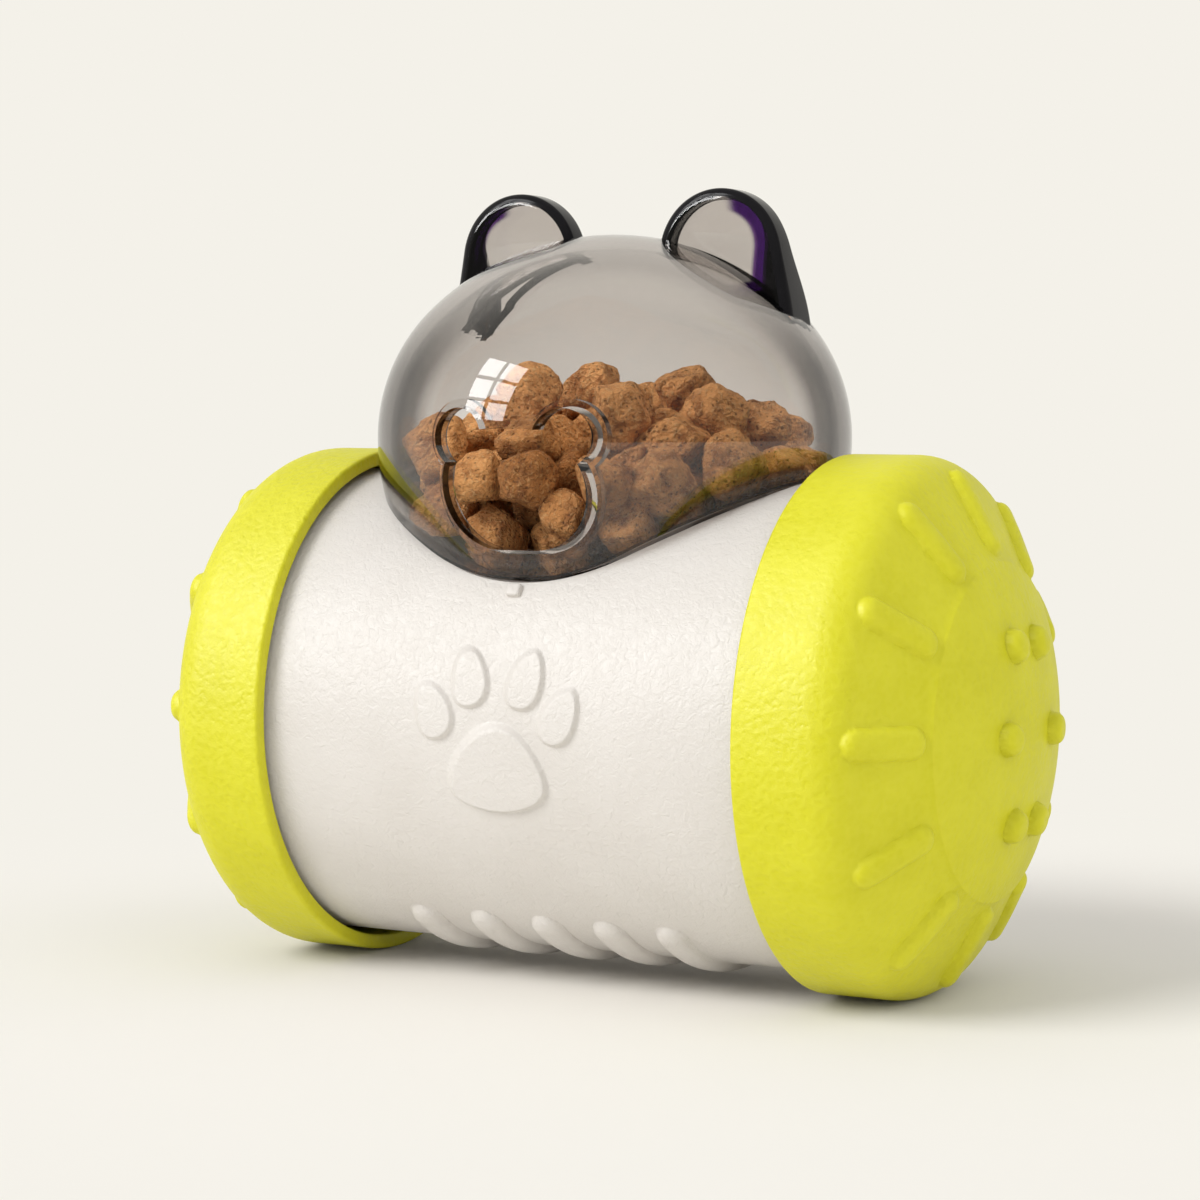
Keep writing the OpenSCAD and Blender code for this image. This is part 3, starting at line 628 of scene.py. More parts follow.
def build_cover():
    """The clear cover: dome and ears, flange and skirt that seat it, and the outlet with its collar."""
    cover = boolean(head_body(0, 0), head_body(COVER_WALL, EAR_WALL), "DIFFERENCE")
    boolean(cover, above_body(SEAT_GAP), "INTERSECT")

    flange = boolean(dome_body(SKIN_GAP), above_body(SEAT_GAP), "INTERSECT")
    boolean(flange, above_body(SEAT_GAP + FLANGE_T), "DIFFERENCE")
    boolean(flange, prism("hole", skirt_outline(SKIRT_WALL), 0, FAR, bottom_to_top), "DIFFERENCE")
    boolean(cover, flange, "UNION")

    skirt = prism("skirt", skirt_outline(0), 0, FAR, bottom_to_top)
    boolean(skirt, prism("hole", skirt_outline(SKIRT_WALL), -1, FAR + 1, bottom_to_top), "DIFFERENCE")
    boolean(skirt, above_body(SEAT_GAP - SKIRT_DEPTH), "INTERSECT")
    boolean(skirt, above_body(SEAT_GAP + FLANGE_T - 0.05), "DIFFERENCE")
    boolean(cover, skirt, "UNION")

    collar = boolean(dome_body(SKIN_GAP), dome_body(COLLAR_DEPTH), "DIFFERENCE")
    boolean(collar, outlet_body(COLLAR_WALL), "INTERSECT")
    boolean(cover, collar, "UNION")
    boolean(cover, outlet_body(0), "DIFFERENCE")
    cover.name = cover.data.name = "smoke_cover"
    finish_shading(cover, 28)
    return cover


def ear_rim_faces(mesh):
    """Which faces of the cover lie on the rims of the ears."""
    at = np.empty(3 * len(mesh.polygons))
    mesh.polygons.foreach_get("center", at)
    x, y, z = (at.reshape(-1, 3) / MM).T
    out, up = np.abs(x) - EAR_X, z - EAR_Z
    across = out * math.cos(EAR_LEAN) + up * math.sin(EAR_LEAN)
    above = up * math.cos(EAR_LEAN) - out * math.sin(EAR_LEAN)
    reach = np.hypot(across / ear_flare(above), np.maximum(above, 0))
    depth = y - EAR_FRONT
    on_ear = (above > -EAR_DROP) & (depth > -0.05) & (depth < EAR_T * ear_taper(above) + 0.05)
    return on_ear & (reach > EAR_R - EAR_RIM_W) & (reach < EAR_R + 0.1)


# Kibble

def push_apart(p, r):
    """Moves chunks that overlap away from each other."""
    gap = p[:, None, :] - p[None, :, :]
    dist = np.linalg.norm(gap, axis=2) + TINY
    deep = np.maximum(r[:, None] + r[None, :] - dist, 0)
    np.fill_diagonal(deep, 0)
    push = (gap / dist[..., None] * deep[..., None]).sum(1)
    touching = np.maximum((deep > 0).sum(1), 1)
    return p + 0.55 * push * (1.6 / (1.6 + 0.25 * touching))[:, None]


def keep_in_dome(p, r):
    """Holds chunks inside the dome, and off the outlet's collar."""
    middle = np.array([0, 0, DOME_Z])
    away = p - middle
    reach = np.linalg.norm(away, axis=1) + TINY
    near_x = np.abs(p[:, 0] - OUTLET_X) < 14
    near_z = np.abs(p[:, 2] - OUTLET_Z - 2) < 13
    by_outlet = near_x & near_z & (p[:, 1] < 0)
    room = np.where(by_outlet, COVER_R - COLLAR_DEPTH + 0.2, COVER_R - COVER_WALL) - 0.3 - r
    return middle + away * np.minimum(1, room / reach)[:, None]


def keep_on_seat(p, r, edge):
    """Holds chunks inside the skirt below the dome and above the flange around it."""
    low, turn_x, angle = edge
    half_l, half_w = SKIRT_ROOM[0] - r, SKIRT_ROOM[1] - r
    inside = np.sqrt((p[:, 0] / half_l) ** 2 + (p[:, 1] / half_w) ** 2) + TINY
    neck = (p[:, 2] < SKIRT_ROOM_Z) & (inside > 1)
    p[neck, :2] /= inside[neck, None]
    wide = np.abs(p[:, 0])
    bend = np.minimum(wide, turn_x)
    flange = low + SEAT_GAP + FLANGE_T + EDGE_R - np.sqrt(EDGE_R ** 2 - bend ** 2)
    flange = flange + (wide - bend) * math.tan(angle)
    sunk = flange + 0.85 * r - p[:, 2]
    p[:, 2] += np.where((inside > 1) & (sunk > 0), np.minimum(sunk, 0.35), 0)
    return p


def keep_on_tray(p, r):
    """Holds chunks in the hollow of the tray."""
    off = np.stack([p[:, 1], p[:, 2] - (TRAY_Z + TRAY_R)], -1)
    off_len = np.linalg.norm(off, axis=1) + TINY
    deep_in = (off[:, 1] < 0) & (off_len > TRAY_R - r)
    off[deep_in] *= ((TRAY_R - r) / off_len)[deep_in, None]
    p[:, 1] = off[:, 0]
    p[:, 2] = off[:, 1] + TRAY_Z + TRAY_R
    return p


def settle(count):
    """Middles and radii of chunks that have settled in a heap in the cover and on the tray."""
    r = rng.uniform(*KIBBLE_R, count)
    p = np.stack([rng.uniform(-18, 18, count), rng.uniform(-18, 18, count), rng.uniform(62, 104, count)], -1)
    edge = edge_line()
    fall, steps, slowing = 0.45, 900, 300
    for step in range(steps):
        slowed = (step - steps + slowing) / slowing
        pull = fall if slowed < 0 else fall * (1 - slowed) + 0.02
        p[:, 2] -= pull
        p[:, :2] -= pull * 2 * HEAP_PULL * p[:, :2] * (p[:, 2:] > 70)
        for _ in range(3):
            p = push_apart(p, r)
            p = keep_in_dome(p, r)
            p = keep_on_seat(p, r, edge)
            p = keep_on_tray(p, r)
    return p, r


def chunk_shape(dirs):
    """Radius over directions of one chunk: a lumpy block with round edges."""
    normals = np.vstack([np.eye(3), -np.eye(3), rng.normal(0, 1, (4, 3))])
    normals[:6] += rng.normal(0, 0.28, (6, 3))
    normals /= np.linalg.norm(normals, axis=1)[:, None]
    reach = np.concatenate([rng.uniform(0.62, 0.95, 6), rng.uniform(0.78, 1.0, 4)])
    power = rng.uniform(40, 90)
    facing = np.maximum(dirs @ normals.T, 0) / reach
    r = (facing ** power).sum(1) ** (-1 / power)
    r = 1.15 - 0.05 * np.log1p(np.exp((1.15 - r) / 0.05))
    for scale, size in ((2.3, 0.045), (5.0, 0.034), (11.0, 0.03), (22.0, 0.022)):
        waves = rng.normal(0, scale, (7, 3))
        phase = rng.uniform(0, 2 * math.pi, 7)
        r = r + size * np.sin(dirs @ waves.T + phase).mean(1) * 2
    return r


def random_turn():
    """A rotation matrix, any turn as likely as any other."""
    q = rng.normal(0, 1, 4)
    w, x, y, z = q / np.linalg.norm(q)
    return np.array([
        [1 - 2 * (y * y + z * z), 2 * (x * y - z * w), 2 * (x * z + y * w)],
        [2 * (x * y + z * w), 1 - 2 * (x * x + z * z), 2 * (y * z - x * w)],
        [2 * (x * z - y * w), 2 * (y * z + x * w), 1 - 2 * (x * x + y * y)],
    ])


def build_kibble():
    """The heap of kibble as one mesh, with a random brightness for each chunk, lower just behind the outlet as
    painted shade.
    """
    ball = bmesh.new()
    bmesh.ops.create_icosphere(ball, subdivisions=4, radius=1)
    dirs = np.array([v.co for v in ball.verts])
    dirs /= np.linalg.norm(dirs, axis=1)[:, None]
    tris = np.array([[v.index for v in f.verts] for f in ball.faces])
    ball.free()
    places, radii = settle(KIBBLE_COUNT)
    # Only chunks below the top of the heap stay
    top = places[:, 2] + 0.8 * radii
    kept = top < HEAP_TOP - HEAP_FALL * (places[:, 0] ** 2 + places[:, 1] ** 2)
    places, radii = places[kept], radii[kept]
    verts, faces, tone_and_shade = [], [], []
    for k, (place, r) in enumerate(zip(places, radii)):
        shape = dirs * chunk_shape(dirs)[:, None]
        size = 1.01 * r * rng.uniform(0.9, 1.12, 3)
        verts.append((shape * size) @ random_turn().T + place)
        faces.append(tris + k * len(dirs))
        # Painted shade: chunks just behind the outlet are made darker, as they lie in the shade under the
        # collar
        outlet_off = ((place[0] - OUTLET_X) / 13) ** 2 + ((place[2] - OUTLET_Z) / 11) ** 2
        by_outlet = math.exp(-outlet_off) * (place[1] < -10)
        tone_and_shade.append(np.full(len(dirs), max(0.0, 0.65 + 0.35 * rng.uniform(0, 1) - 0.62 * by_outlet)))
    kibble = make_object("kibble", np.vstack(verts), np.vstack(faces).tolist())
    attribute = kibble.data.attributes.new("tone_and_shade", "FLOAT", "POINT")
    attribute.data.foreach_set("value", np.concatenate(tone_and_shade).astype(np.float32))
    return kibble


# Materials

def add_node(tree, kind, links=None, **settings):
    """Adds a node. The links give each of its inputs a value, or another node's output."""
    made = tree.nodes.new(kind)
    for key, value in settings.items():
        setattr(made, key, value)
    for key, value in (links or {}).items():
        socket = made.inputs[key]
        if isinstance(value, bpy.types.NodeSocket):
            tree.links.new(value, socket)
        else:
            socket.default_value = value
    return made


def seen_rays(tree):
    """1 for the rays that show the backdrop: direct, mirrored or through glass."""
    path = add_node(tree, "ShaderNodeLightPath").outputs
    links = {0: path["Is Camera Ray"], 1: path["Is Glossy Ray"]}
    direct = add_node(tree, "ShaderNodeMath", links, operation="MAXIMUM").outputs[0]
    links = {0: direct, 1: path["Is Transmission Ray"]}
    return add_node(tree, "ShaderNodeMath", links, operation="MAXIMUM").outputs[0]


class Paint:
    """A node material: its tree, its Principled shader, and short ways to add nodes."""

    def __init__(self, name, roughness, **values):
        self.material = bpy.data.materials.new(name)
        self.material.use_nodes = True
        self.tree = self.material.node_tree
        self.shader = self.tree.nodes["Principled BSDF"]
        self.shader.inputs["Roughness"].default_value = roughness
        for key, value in values.items():
            self.shader.inputs[key.replace("_", " ")].default_value = value
        self.place = self.node("ShaderNodeTexCoord").outputs["Object"]

    def node(self, kind, links=None, **settings):
        return add_node(self.tree, kind, links, **settings)

    def noise(self, size_mm, detail=3.0, distortion=0.0, place=None):
        """Noise whose features are about this large."""
        links = {"Vector": place or self.place, "Scale": 1 / (size_mm * MM)}
        links.update({"Detail": detail, "Distortion": distortion})
        return self.node("ShaderNodeTexNoise", links).outputs["Fac"]

    def cells(self, size_mm, place):
        """Round cells that are about this large."""
        links = {"Vector": place, "Scale": 1 / (size_mm * MM)}
        return self.node("ShaderNodeTexVoronoi", links, feature="SMOOTH_F1").outputs["Distance"]

    def vector(self, operation, links):
        return self.node("ShaderNodeVectorMath", links, operation=operation).outputs[0]

    def warped(self, size_mm, amount_mm):
        """Object coordinates pushed about by noise, so that a pattern loses its regular look."""
        links = {"Vector": self.place, "Scale": 1 / (size_mm * MM), "Detail": 1.0}
        push = self.node("ShaderNodeTexNoise", links).outputs["Color"]
        centred = self.vector("SUBTRACT", {0: push, 1: (0.5, 0.5, 0.5)})
        scaled = self.vector("SCALE", {0: centred, "Scale": 2 * amount_mm * MM})
        return self.vector("ADD", {0: self.place, 1: scaled})

    def ramp(self, value, low, high, out_low=0.0, out_high=1.0):
        """A smooth change from one value to another while the input goes from low to high."""
        links = {"Value": value, "From Min": low, "From Max": high, "To Min": out_low, "To Max": out_high}
        return self.node("ShaderNodeMapRange", links, interpolation_type="SMOOTHSTEP").outputs[0]

    def math(self, operation, a, b):
        return self.node("ShaderNodeMath", {0: a, 1: b}, operation=operation).outputs[0]

    def plus(self, a, b):
        return self.math("ADD", a, b)

    def minus(self, a, b):
        return self.math("SUBTRACT", a, b)

    def times(self, a, b):
        return self.math("MULTIPLY", a, b)

    def mix(self, factor, a, b):
        links = {"Factor": factor, 6: a, 7: b}
        return self.node("ShaderNodeMix", links, data_type="RGBA").outputs[2]

    def bump(self, height, depth_mm):
        links = {"Height": height, "Distance": depth_mm * MM, "Strength": 1.0}
        return self.node("ShaderNodeBump", links).outputs["Normal"]

    def set(self, key, value):
        self.tree.links.new(value, self.shader.inputs[key])


def rubber():
    """Yellow-green rubber with a pebbled skin."""
    paint = Paint("wheel_rubber", 0.5, Specular_IOR_Level=0.32)
    spot = paint.warped(1.6, 0.5)
    pebble = paint.cells(0.95, spot)
    fine = paint.noise(0.3, 2)
    grain = paint.plus(pebble, paint.times(fine, 0.35))
    zone = paint.ramp(paint.noise(26, 1), 0.35, 0.65, 0.55, 1.0)
    cloudy = paint.noise(9, 4)
    colour = paint.mix(paint.ramp(cloudy, 0.3, 0.7), (0.668, 0.643, 0.010, 1), (0.712, 0.687, 0.018, 1))
    # The pebbled grain is paler towards the edges of its cells
    pale_cell_edges = paint.mix(paint.ramp(pebble, 0.15, 0.75, 0.0, 0.22), colour, (0.79, 0.765, 0.06, 1))
    # The rubber tints its neighbours only a little
    bounced = paint.node("ShaderNodeLightPath").outputs["Is Diffuse Ray"]
    paint.set("Base Color", paint.mix(paint.times(bounced, 0.7), pale_cell_edges, (0.42, 0.42, 0.36, 1)))
    paint.set("Roughness", paint.ramp(grain, 0.2, 1.0, 0.42, 0.58))
    paint.set("Normal", paint.bump(paint.times(grain, zone), 0.15))
    return paint.material


def moulded(name, light, dark, roughness, grain_mm, depth_mm):
    """Moulded plastic with a fine grain."""
    paint = Paint(name, roughness, Specular_IOR_Level=0.45)
    spot = paint.warped(2.4, 0.9)
    swirl = paint.noise(grain_mm, 2, 0.6, spot)
    fine = paint.noise(grain_mm / 3, 1)
    grain = paint.plus(swirl, paint.times(fine, 0.3))
    paint.set("Base Color", paint.mix(paint.ramp(paint.noise(14, 4), 0.3, 0.7), light, dark))
    paint.set("Roughness", paint.ramp(grain, 0.3, 1.0, roughness - 0.08, roughness + 0.1))
    paint.set("Normal", paint.bump(grain, depth_mm))
    return paint.material


def steel():
    """Zinc-plated steel with fine streaks."""
    paint = Paint("screw_steel", 0.32, Metallic=1.0)
    streak = paint.noise(0.7, 5, 1.5)
    paint.set("Base Color", paint.mix(streak, (0.50, 0.51, 0.53, 1), (0.62, 0.62, 0.62, 1)))
    paint.set("Roughness", paint.ramp(streak, 0.3, 0.7, 0.24, 0.42))
    paint.set("Normal", paint.bump(streak, 0.01))
    return paint.material


def iron():
    """Cast iron with a sandy skin and a trace of rust."""
    paint = Paint("weight_iron", 0.6, Metallic=1.0)
    sand = paint.noise(0.6, 6)
    rust = paint.ramp(paint.noise(7, 5), 0.55, 0.75)
    paint.set("Base Color", paint.mix(rust, (0.065, 0.065, 0.07, 1), (0.11, 0.075, 0.055, 1)))
    paint.set("Roughness", paint.ramp(sand, 0.3, 0.7, 0.5, 0.75))
    paint.set("Normal", paint.bump(sand, 0.12))
    return paint.material


def kibble_crust():
    """Baked crust: mottled brown with golden crumbs and dark pits."""
    paint = Paint("kibble_crust", 0.72, Specular_IOR_Level=0.3)
    # Each chunk's brightness comes from the mesh: random, and lower behind the outlet as painted shade
    tone_and_shade = paint.node("ShaderNodeAttribute", attribute_name="tone_and_shade").outputs["Fac"]
    mottle = paint.noise(2.2, 5)
    crumb = paint.noise(0.55, 4, 0.4)
    pits = paint.cells(0.9, paint.warped(1.2, 0.4))
    base = paint.mix(tone_and_shade, (0.355, 0.136, 0.036, 1), (0.960, 0.480, 0.175, 1))
    toasted = paint.mix(tone_and_shade, (0.155, 0.053, 0.013, 1), (0.430, 0.160, 0.044, 1))
    golden = paint.mix(tone_and_shade, (0.500, 0.255, 0.095, 1), (0.930, 0.590, 0.275, 1))
    brown = paint.mix(paint.ramp(mottle, 0.42, 0.72), base, toasted)
    crusty = paint.mix(paint.ramp(crumb, 0.5, 0.70, 0.0, 0.65), brown, golden)
    dark = paint.mix(paint.ramp(pits, 0.08, 0.28, 0.7, 0.0), crusty, (0.10, 0.035, 0.012, 1))
    paint.set("Base Color", dark)
    crumbly = paint.plus(crumb, paint.times(pits, 0.5))
    rough = paint.plus(paint.times(mottle, 0.8), crumbly)
    paint.set("Normal", paint.bump(rough, 1.1))
    return paint.material


def ear_masks(paint, spot):
    """Masks of the ears, of their rims, and of the strips beside the rims on the outer sides."""
    out_x = paint.minus(paint.math("ABSOLUTE", spot[0], 0.0), EAR_X * MM)
    up_z = paint.minus(spot[2], EAR_Z * MM)
    turn_c, turn_s = math.cos(EAR_LEAN), math.sin(EAR_LEAN)
    across = paint.plus(paint.times(out_x, turn_c), paint.times(up_z, turn_s))
    above = paint.minus(paint.times(up_z, turn_c), paint.times(out_x, turn_s))
    top = paint.math("MAXIMUM", above, 0.0)
    reach = paint.math("SQRT", paint.plus(paint.times(across, across), paint.times(top, top)), 0.0)

    depth = paint.minus(spot[1], EAR_FRONT * MM)
    taper_end = EAR_TAPER_FROM - EAR_TAPER_L
    thick = paint.ramp(above, taper_end * MM, EAR_TAPER_FROM * MM, EAR_T * MM, EAR_TOP_SHARE * EAR_T * MM)
    behind = paint.minus(depth, thick)
    within = paint.ramp(depth, -0.2 * MM, -0.1 * MM)
    within = paint.times(within, paint.ramp(behind, 0.1 * MM, 0.2 * MM, 1.0, 0.0))
    widest = (1 + EAR_FLARE) * EAR_R
    within = paint.times(within, paint.ramp(reach, (widest + 0.1) * MM, (widest + 0.3) * MM, 1.0, 0.0))
    on_ear = paint.times(paint.ramp(above, -11 * MM, -10 * MM), within)

    # The rim is wider on the outer side of the foot
    outer_foot = paint.times(paint.ramp(above, -7 * MM, 5 * MM, 1.0, 0.0), paint.ramp(across, 0.0, 4 * MM))
    past_rim = paint.plus(paint.minus(reach, (EAR_R - EAR_RIM_W) * MM), paint.times(outer_foot, 1.9 * MM))
    rim = paint.times(paint.ramp(past_rim, -0.1 * MM, 0.1 * MM), on_ear)
    beside = paint.times(paint.ramp(past_rim, -2.3 * MM, -1.5 * MM), on_ear)
    in_front = paint.ramp(spot[1], (EAR_FRONT + 2) * MM, (EAR_FRONT + 3) * MM, 1.0, 0.0)
    outer_strip = paint.times(paint.times(beside, in_front), paint.ramp(across, 2 * MM, 4 * MM))
    return on_ear, rim, outer_strip


def edge_mask(paint, spot):
    """Mask of the thin line along the cover's lower edge."""
    low, turn_x, angle = edge_line()
    wide = paint.math("ABSOLUTE", spot[0], 0.0)
    bend = paint.math("MINIMUM", wide, turn_x * MM)
    sagged = paint.math("SQRT", paint.minus((EDGE_R * MM) ** 2, paint.times(bend, bend)), 0.0)
    climb = paint.times(paint.minus(wide, bend), math.tan(angle))
    edge_z = paint.minus(paint.plus(climb, (low + SEAT_GAP + EDGE_R) * MM), sagged)
    return paint.ramp(paint.minus(spot[2], edge_z), 0.35 * MM, 0.55 * MM, 0.9, 0.0)


def smoke():
    """Clear smoke-grey plastic, tinted in its depth, with painted shade on walls seen at a slant and near-black
    painted on the ears' rims. Lamps shine through it.
    """
    paint = Paint("smoke_plastic", 0.01, IOR=1.49, Transmission_Weight=1.0, Specular_IOR_Level=0.36)
    spot = paint.node("ShaderNodeSeparateXYZ", {0: paint.place}).outputs

    def by_height(low, high, out_low=0.0, out_high=1.0):
        return paint.ramp(spot[2], (DOME_Z + low) * MM, (DOME_Z + high) * MM, out_low, out_high)

    # Painted shade: walls seen at a slant are given a darker colour, less towards the top and the bottom of the
    # dome
    grazing = paint.node("ShaderNodeLayerWeight", {"Blend": 0.5}).outputs["Facing"]
    side_on = by_height(9, 25, 1.0, 0.2)
    slant_shade = paint.times(paint.ramp(grazing, 0.08, 0.55), side_on)
    slant_shade = paint.times(slant_shade, by_height(2, 15, 0.2, 1.0))
    limb_shade = paint.times(paint.ramp(grazing, 0.42, 0.60), side_on)
    limb_shade = paint.times(limb_shade, by_height(-17, -7))

    on_ear, rim, outer_strip = ear_masks(paint, spot)
    clear = paint.mix(slant_shade, (0.98, 0.975, 0.97, 1), (0.74, 0.72, 0.705, 1))
    clear = paint.mix(on_ear, clear, (0.87, 0.85, 0.835, 1))
    edged = paint.mix(limb_shade, clear, (0.075, 0.068, 0.065, 1))
    lined = paint.mix(edge_mask(paint, spot), edged, (0.03, 0.028, 0.027, 1))
    violet = paint.mix(outer_strip, lined, (0.07, 0.015, 0.17, 1))
    # Painted shade: the ears' rims are coloured near black
    paint.set("Base Color", paint.mix(rim, violet, (0.006, 0.006, 0.007, 1)))

    through = paint.node("ShaderNodeBsdfTransparent", {"Color": (0.98, 0.975, 0.97, 1)})
    lamp_ray = paint.node("ShaderNodeLightPath").outputs["Is Shadow Ray"]
    both = paint.node("ShaderNodeMixShader", {0: lamp_ray, 1: paint.shader.outputs[0], 2: through.outputs[0]})
    tint = paint.node("ShaderNodeVolumeAbsorption", {"Color": (0.503, 0.438, 0.398, 1), "Density": 185.0})
    out = paint.tree.nodes["Material Output"]
    paint.tree.links.new(both.outputs[0], out.inputs["Surface"])
    paint.tree.links.new(tint.outputs[0], out.inputs["Volume"])
    return paint.material


def smoke_rim_shade():
    """The thick rims of the ears in opaque near-black: painted shade for how dark the clear smoke-grey rims
    look.
    """
    paint = Paint("smoke_rim_shade", 0.12, Specular_IOR_Level=0.12)
    flow = paint.noise(6, 3)
    paint.set("Base Color", paint.mix(flow, (0.008, 0.008, 0.009, 1), (0.016, 0.015, 0.017, 1)))
    paint.set("Roughness", paint.ramp(flow, 0.3, 0.7, 0.08, 0.16))
    return paint.material


# The object

def dress(obj, material):
    """Gives an object this material alone."""
    obj.data.materials.clear()
    obj.data.materials.append(material)


rubber_paint = rubber()
white_paint = moulded("drum_plastic", (0.745, 0.712, 0.675, 1), (0.715, 0.680, 0.640, 1), 0.42, 1.0, 0.15)
inner_paint = moulded("inner_plastic", (0.70, 0.68, 0.63, 1), (0.66, 0.64, 0.59, 1), 0.5, 0.6, 0.04)
bush_paint = moulded("bush_plastic", (0.86, 0.84, 0.78, 1), (0.82, 0.80, 0.73, 1), 0.35, 0.4, 0.02)
steel_paint = steel()
iron_paint = iron()
kibble_paint = kibble_crust()
smoke_paint = smoke()
rim_shade_paint = smoke_rim_shade()

wheels = []
for side_name, side_sign in (("left", -1), ("right", 1)):
    wheel = build_wheel(f"{side_name}_wheel_moulding", side_sign)
    wheels.append(wheel)
    dress(wheel, rubber_paint)
    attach(wheel, f"{side_name}_wheel_set")
    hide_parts(f"{side_name}_wheel")

drum = build_drum()
dress(drum, white_paint)
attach(drum, "drum")
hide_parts("drum_shell")

cover = build_cover()
dress(cover, smoke_paint)
# The faces on the ears' rims take the near-black rim material: painted shade
cover.data.materials.append(rim_shade_paint)
cover.data.polygons.foreach_set("material_index", ear_rim_faces(cover.data).astype(np.int32))
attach(cover, "head_cover")
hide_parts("cover")

kibble = build_kibble()
dress(kibble, kibble_paint)
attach(kibble, "head_cover")

slot_paints = {
    "inner_plastic": inner_paint,
    "bush_plastic": bush_paint,
    "screw_steel": steel_paint,
    "weight_iron": iron_paint,
}
for part in frame["record"]["subparts"]:
    if part["material_slot"] in slot_paints:
        dress(frame["nodes"][part["node"]], slot_paints[part["material_slot"]])


# Floor, light and camera

BACKDROP = (0.905, 0.880, 0.815, 1)
WORLD_LIGHT = 0.64
WORLD_COLOUR = (1.0, 0.985, 0.955, 1)
KEY_POWER = 1.75
FILL_POWER = 0.4
SHEEN_POWER = 3.1
TOP_POWER = 1.9
PANE_POWER = 6.5
PANE_SIZE = (0.44, 0.39)
PANE_PITCH = (0.52, 0.46)
FLOOR_RINGS = (500.0, 4000.0)
FLOOR_COLS = 96
CAMERA_AT = Vector((0.2310, -0.4304, 0.0909))
CAMERA_YAW = math.radians(28.49)
CAMERA_PITCH = math.radians(3.96)
CAMERA_LENS = 95.43
SENSOR_WIDTH = 36.0


def build_floor():
    """A round pale floor that keeps the object's shadow."""
    turn = np.linspace(0, 2 * math.pi, FLOOR_COLS, endpoint=False)
    rings = [np.stack([r * np.cos(turn), r * np.sin(turn), 0 * turn], -1) for r in FLOOR_RINGS]
    faces = grid_faces(len(rings), FLOOR_COLS) + [list(range(FLOOR_COLS))]
    floor = make_object("floor", np.vstack(rings), faces)
    paint = Paint("floor_paper", 0.9, Specular_IOR_Level=0.1)
    paint.set("Base Color", paint.mix(paint.noise(30, 2), (0.900, 0.880, 0.835, 1), (0.910, 0.890, 0.845, 1)))
    # Away from the object the floor turns into the backdrop, so that no horizon shows
    away = paint.node("ShaderNodeVectorMath", {0: paint.place}, operation="LENGTH").outputs["Value"]
    fade = paint.times(seen_rays(paint.tree), paint.ramp(away, 0.09, 0.20))
    backdrop = paint.node("ShaderNodeEmission", {"Color": BACKDROP, "Strength": 1.0})
    both = paint.node("ShaderNodeMixShader", {0: fade, 1: paint.shader.outputs[0], 2: backdrop.outputs[0]})
    paint.tree.links.new(both.outputs[0], paint.tree.nodes["Material Output"].inputs["Surface"])
    floor.data.materials.append(paint.material)


def build_world(ahead):
    """The backdrop that is seen, and an even light from all around."""
    world = bpy.data.worlds.new("studio")
    bpy.context.scene.world = world
    world.use_nodes = True
    tree = world.node_tree
    # What the cover mirrors from the front of the room is dimmer than the backdrop
    facing = add_node(tree, "ShaderNodeTexCoord").outputs["Generated"]
    towards = add_node(tree, "ShaderNodeVectorMath", {0: facing, 1: ahead}, operation="DOT_PRODUCT")
    links = {"Value": towards.outputs["Value"], "From Min": -0.5, "From Max": 0.6, "To Min": 0.8, "To Max": 0.0}
    dim = add_node(tree, "ShaderNodeMapRange", links).outputs[0]
    mirror_ray = add_node(tree, "ShaderNodeLightPath").outputs["Is Glossy Ray"]
    mirrored = add_node(tree, "ShaderNodeMath", {0: dim, 1: mirror_ray}, operation="MULTIPLY").outputs[0]
    strength = add_node(tree, "ShaderNodeMath", {0: 1.0, 1: mirrored}, operation="SUBTRACT").outputs[0]
    seen = tree.nodes["Background"]
    seen.inputs["Color"].default_value = BACKDROP
    tree.links.new(strength, seen.inputs["Strength"])
    light = add_node(tree, "ShaderNodeBackground", {"Color": WORLD_COLOUR, "Strength": WORLD_LIGHT})
    links = {0: seen_rays(tree), 1: light.outputs[0], 2: seen.outputs[0]}
    both = add_node(tree, "ShaderNodeMixShader", links)
    tree.links.new(both.outputs[0], tree.nodes["World Output"].inputs["Surface"])


def add_lamp(name, kind, place, target, power, **settings):
    """A lamp at a place, turned towards a target."""
    lamp = bpy.data.lights.new(name, kind)
    lamp.energy = power
    for key, value in settings.items():
        setattr(lamp, key, value)
    obj = bpy.data.objects.new(name, lamp)
    bpy.context.scene.collection.objects.link(obj)
    obj.location = place
    obj.rotation_mode = "QUATERNION"
    obj.rotation_quaternion = (target - place).to_track_quat("-Z", "Y")
    return obj


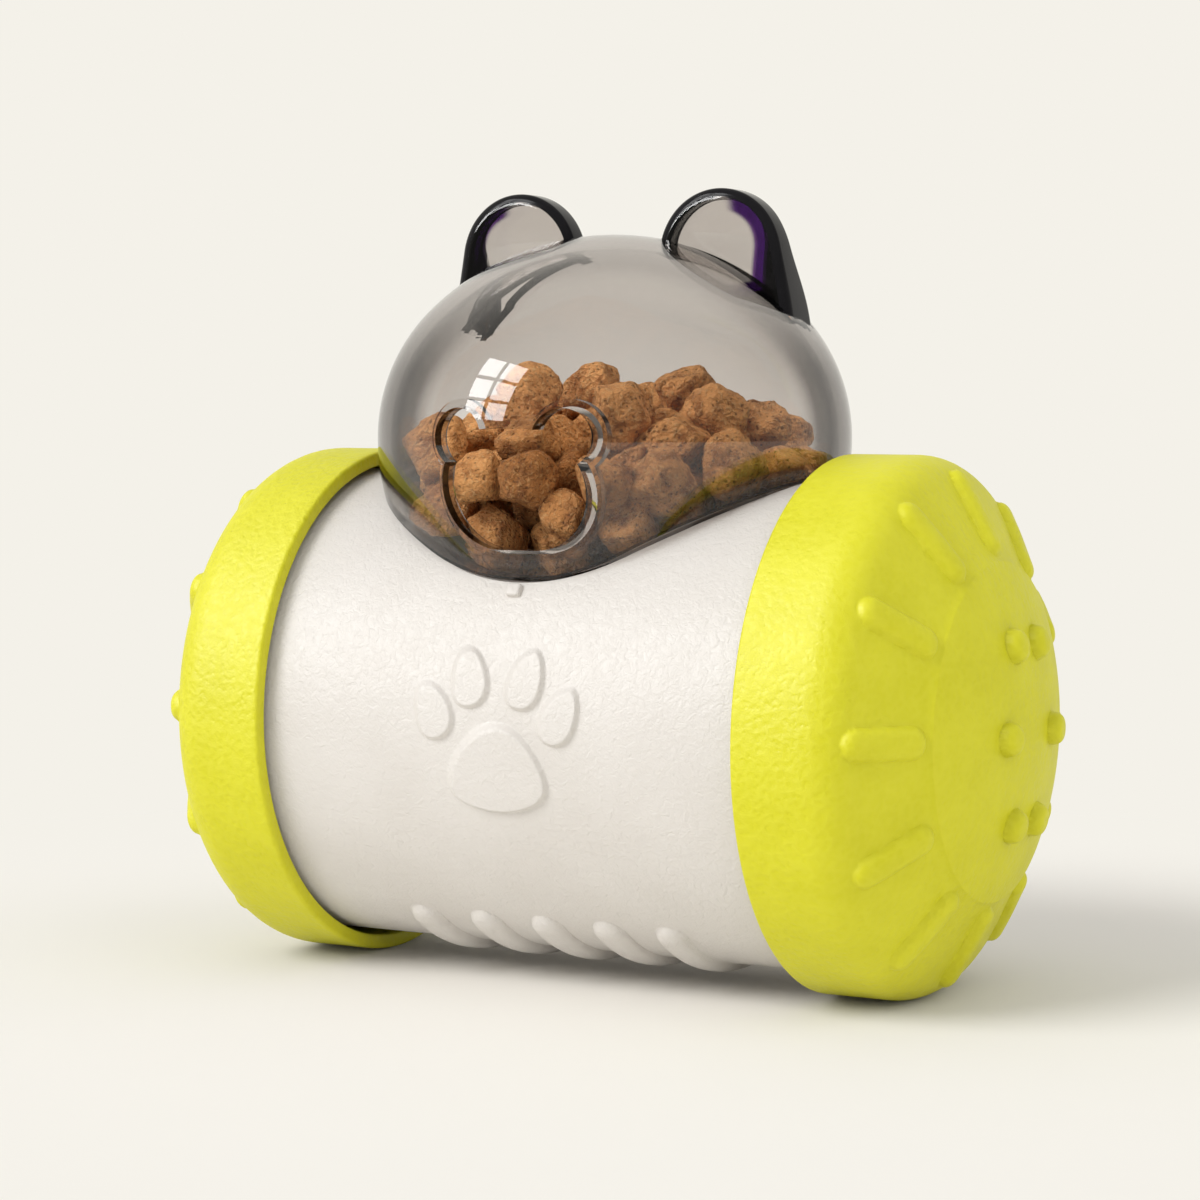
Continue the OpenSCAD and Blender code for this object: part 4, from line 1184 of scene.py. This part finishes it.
def build_light(right, ahead, matt, food):
    """A soft key and fill, and lamps that only some pieces or reflections show."""
    up = Vector((0, 0, 1))
    target = Vector((0, 0, 0.06))

    def add_sun(name, to_right, to_back, rise, power, degrees):
        place = target + to_right * right + to_back * ahead + rise * up
        return add_lamp(name, "SUN", place, target, power, angle=math.radians(degrees))

    key = add_sun("key", -0.95, -0.5, 0.8, KEY_POWER, 32)
    fill = add_sun("fill", 0.8, -0.5, 0.6, FILL_POWER, 70)
    # The key lamp's sheen on the rubber, kept off the polished cover
    sheen = add_sun("sheen", -0.95, -0.5, 0.8, SHEEN_POWER, 60)
    sheen.visible_diffuse = False
    sheen.visible_transmission = False
    sheen.light_linking.receiver_collection = matt
    # What the smoky cover takes away from the light on the kibble
    top = add_sun("top", 0.45, -0.3, 1.0, TOP_POWER, 25)
    top.light_linking.receiver_collection = food
    for lamp in (key, fill, top):
        lamp.visible_glossy = False
        lamp.visible_transmission = False
    # A window of six panes that only shows as a reflection
    middle = target - 1.95 * right - 0.85 * ahead + 1.05 * up
    aim = target - middle
    across = aim.cross(up).normalized()
    rise = across.cross(aim).normalized()
    for i in (-0.5, 0.5):
        for j in (-1, 0, 1):
            place = middle + across * i * PANE_PITCH[0] + rise * j * PANE_PITCH[1]
            pane = add_lamp(f"pane_{int(i + 1)}_{j + 1}", "AREA", place, place + aim, PANE_POWER,
                            shape="RECTANGLE", size=PANE_SIZE[0], size_y=PANE_SIZE[1])
            pane.visible_diffuse = False
            pane.visible_transmission = False


def build_camera():
    """Adds the camera. Returns its right and its level direction of view."""
    right = Vector((math.cos(CAMERA_YAW), math.sin(CAMERA_YAW), 0))
    level = Vector((-math.sin(CAMERA_YAW), math.cos(CAMERA_YAW), 0))
    ahead = level * math.cos(CAMERA_PITCH) - Vector((0, 0, math.sin(CAMERA_PITCH)))
    up = right.cross(ahead)
    data = bpy.data.cameras.new("camera")
    data.lens = CAMERA_LENS
    data.sensor_width = SENSOR_WIDTH
    data.clip_start = 0.01
    data.clip_end = 50.0
    camera = bpy.data.objects.new("camera", data)
    bpy.context.scene.collection.objects.link(camera)
    camera.matrix_world = Matrix.Translation(CAMERA_AT) @ Matrix((right, up, -ahead)).transposed().to_4x4()
    bpy.context.scene.camera = camera
    return right, level


build_floor()
camera_right, camera_ahead = build_camera()
build_world(camera_ahead)
matt_pieces = bpy.data.collections.new("matt_pieces")
for piece in wheels:
    matt_pieces.objects.link(piece)
food_pieces = bpy.data.collections.new("food_pieces")
food_pieces.objects.link(kibble)
build_light(camera_right, camera_ahead, matt_pieces, food_pieces)
bpy.context.scene.view_settings.view_transform = "Standard"
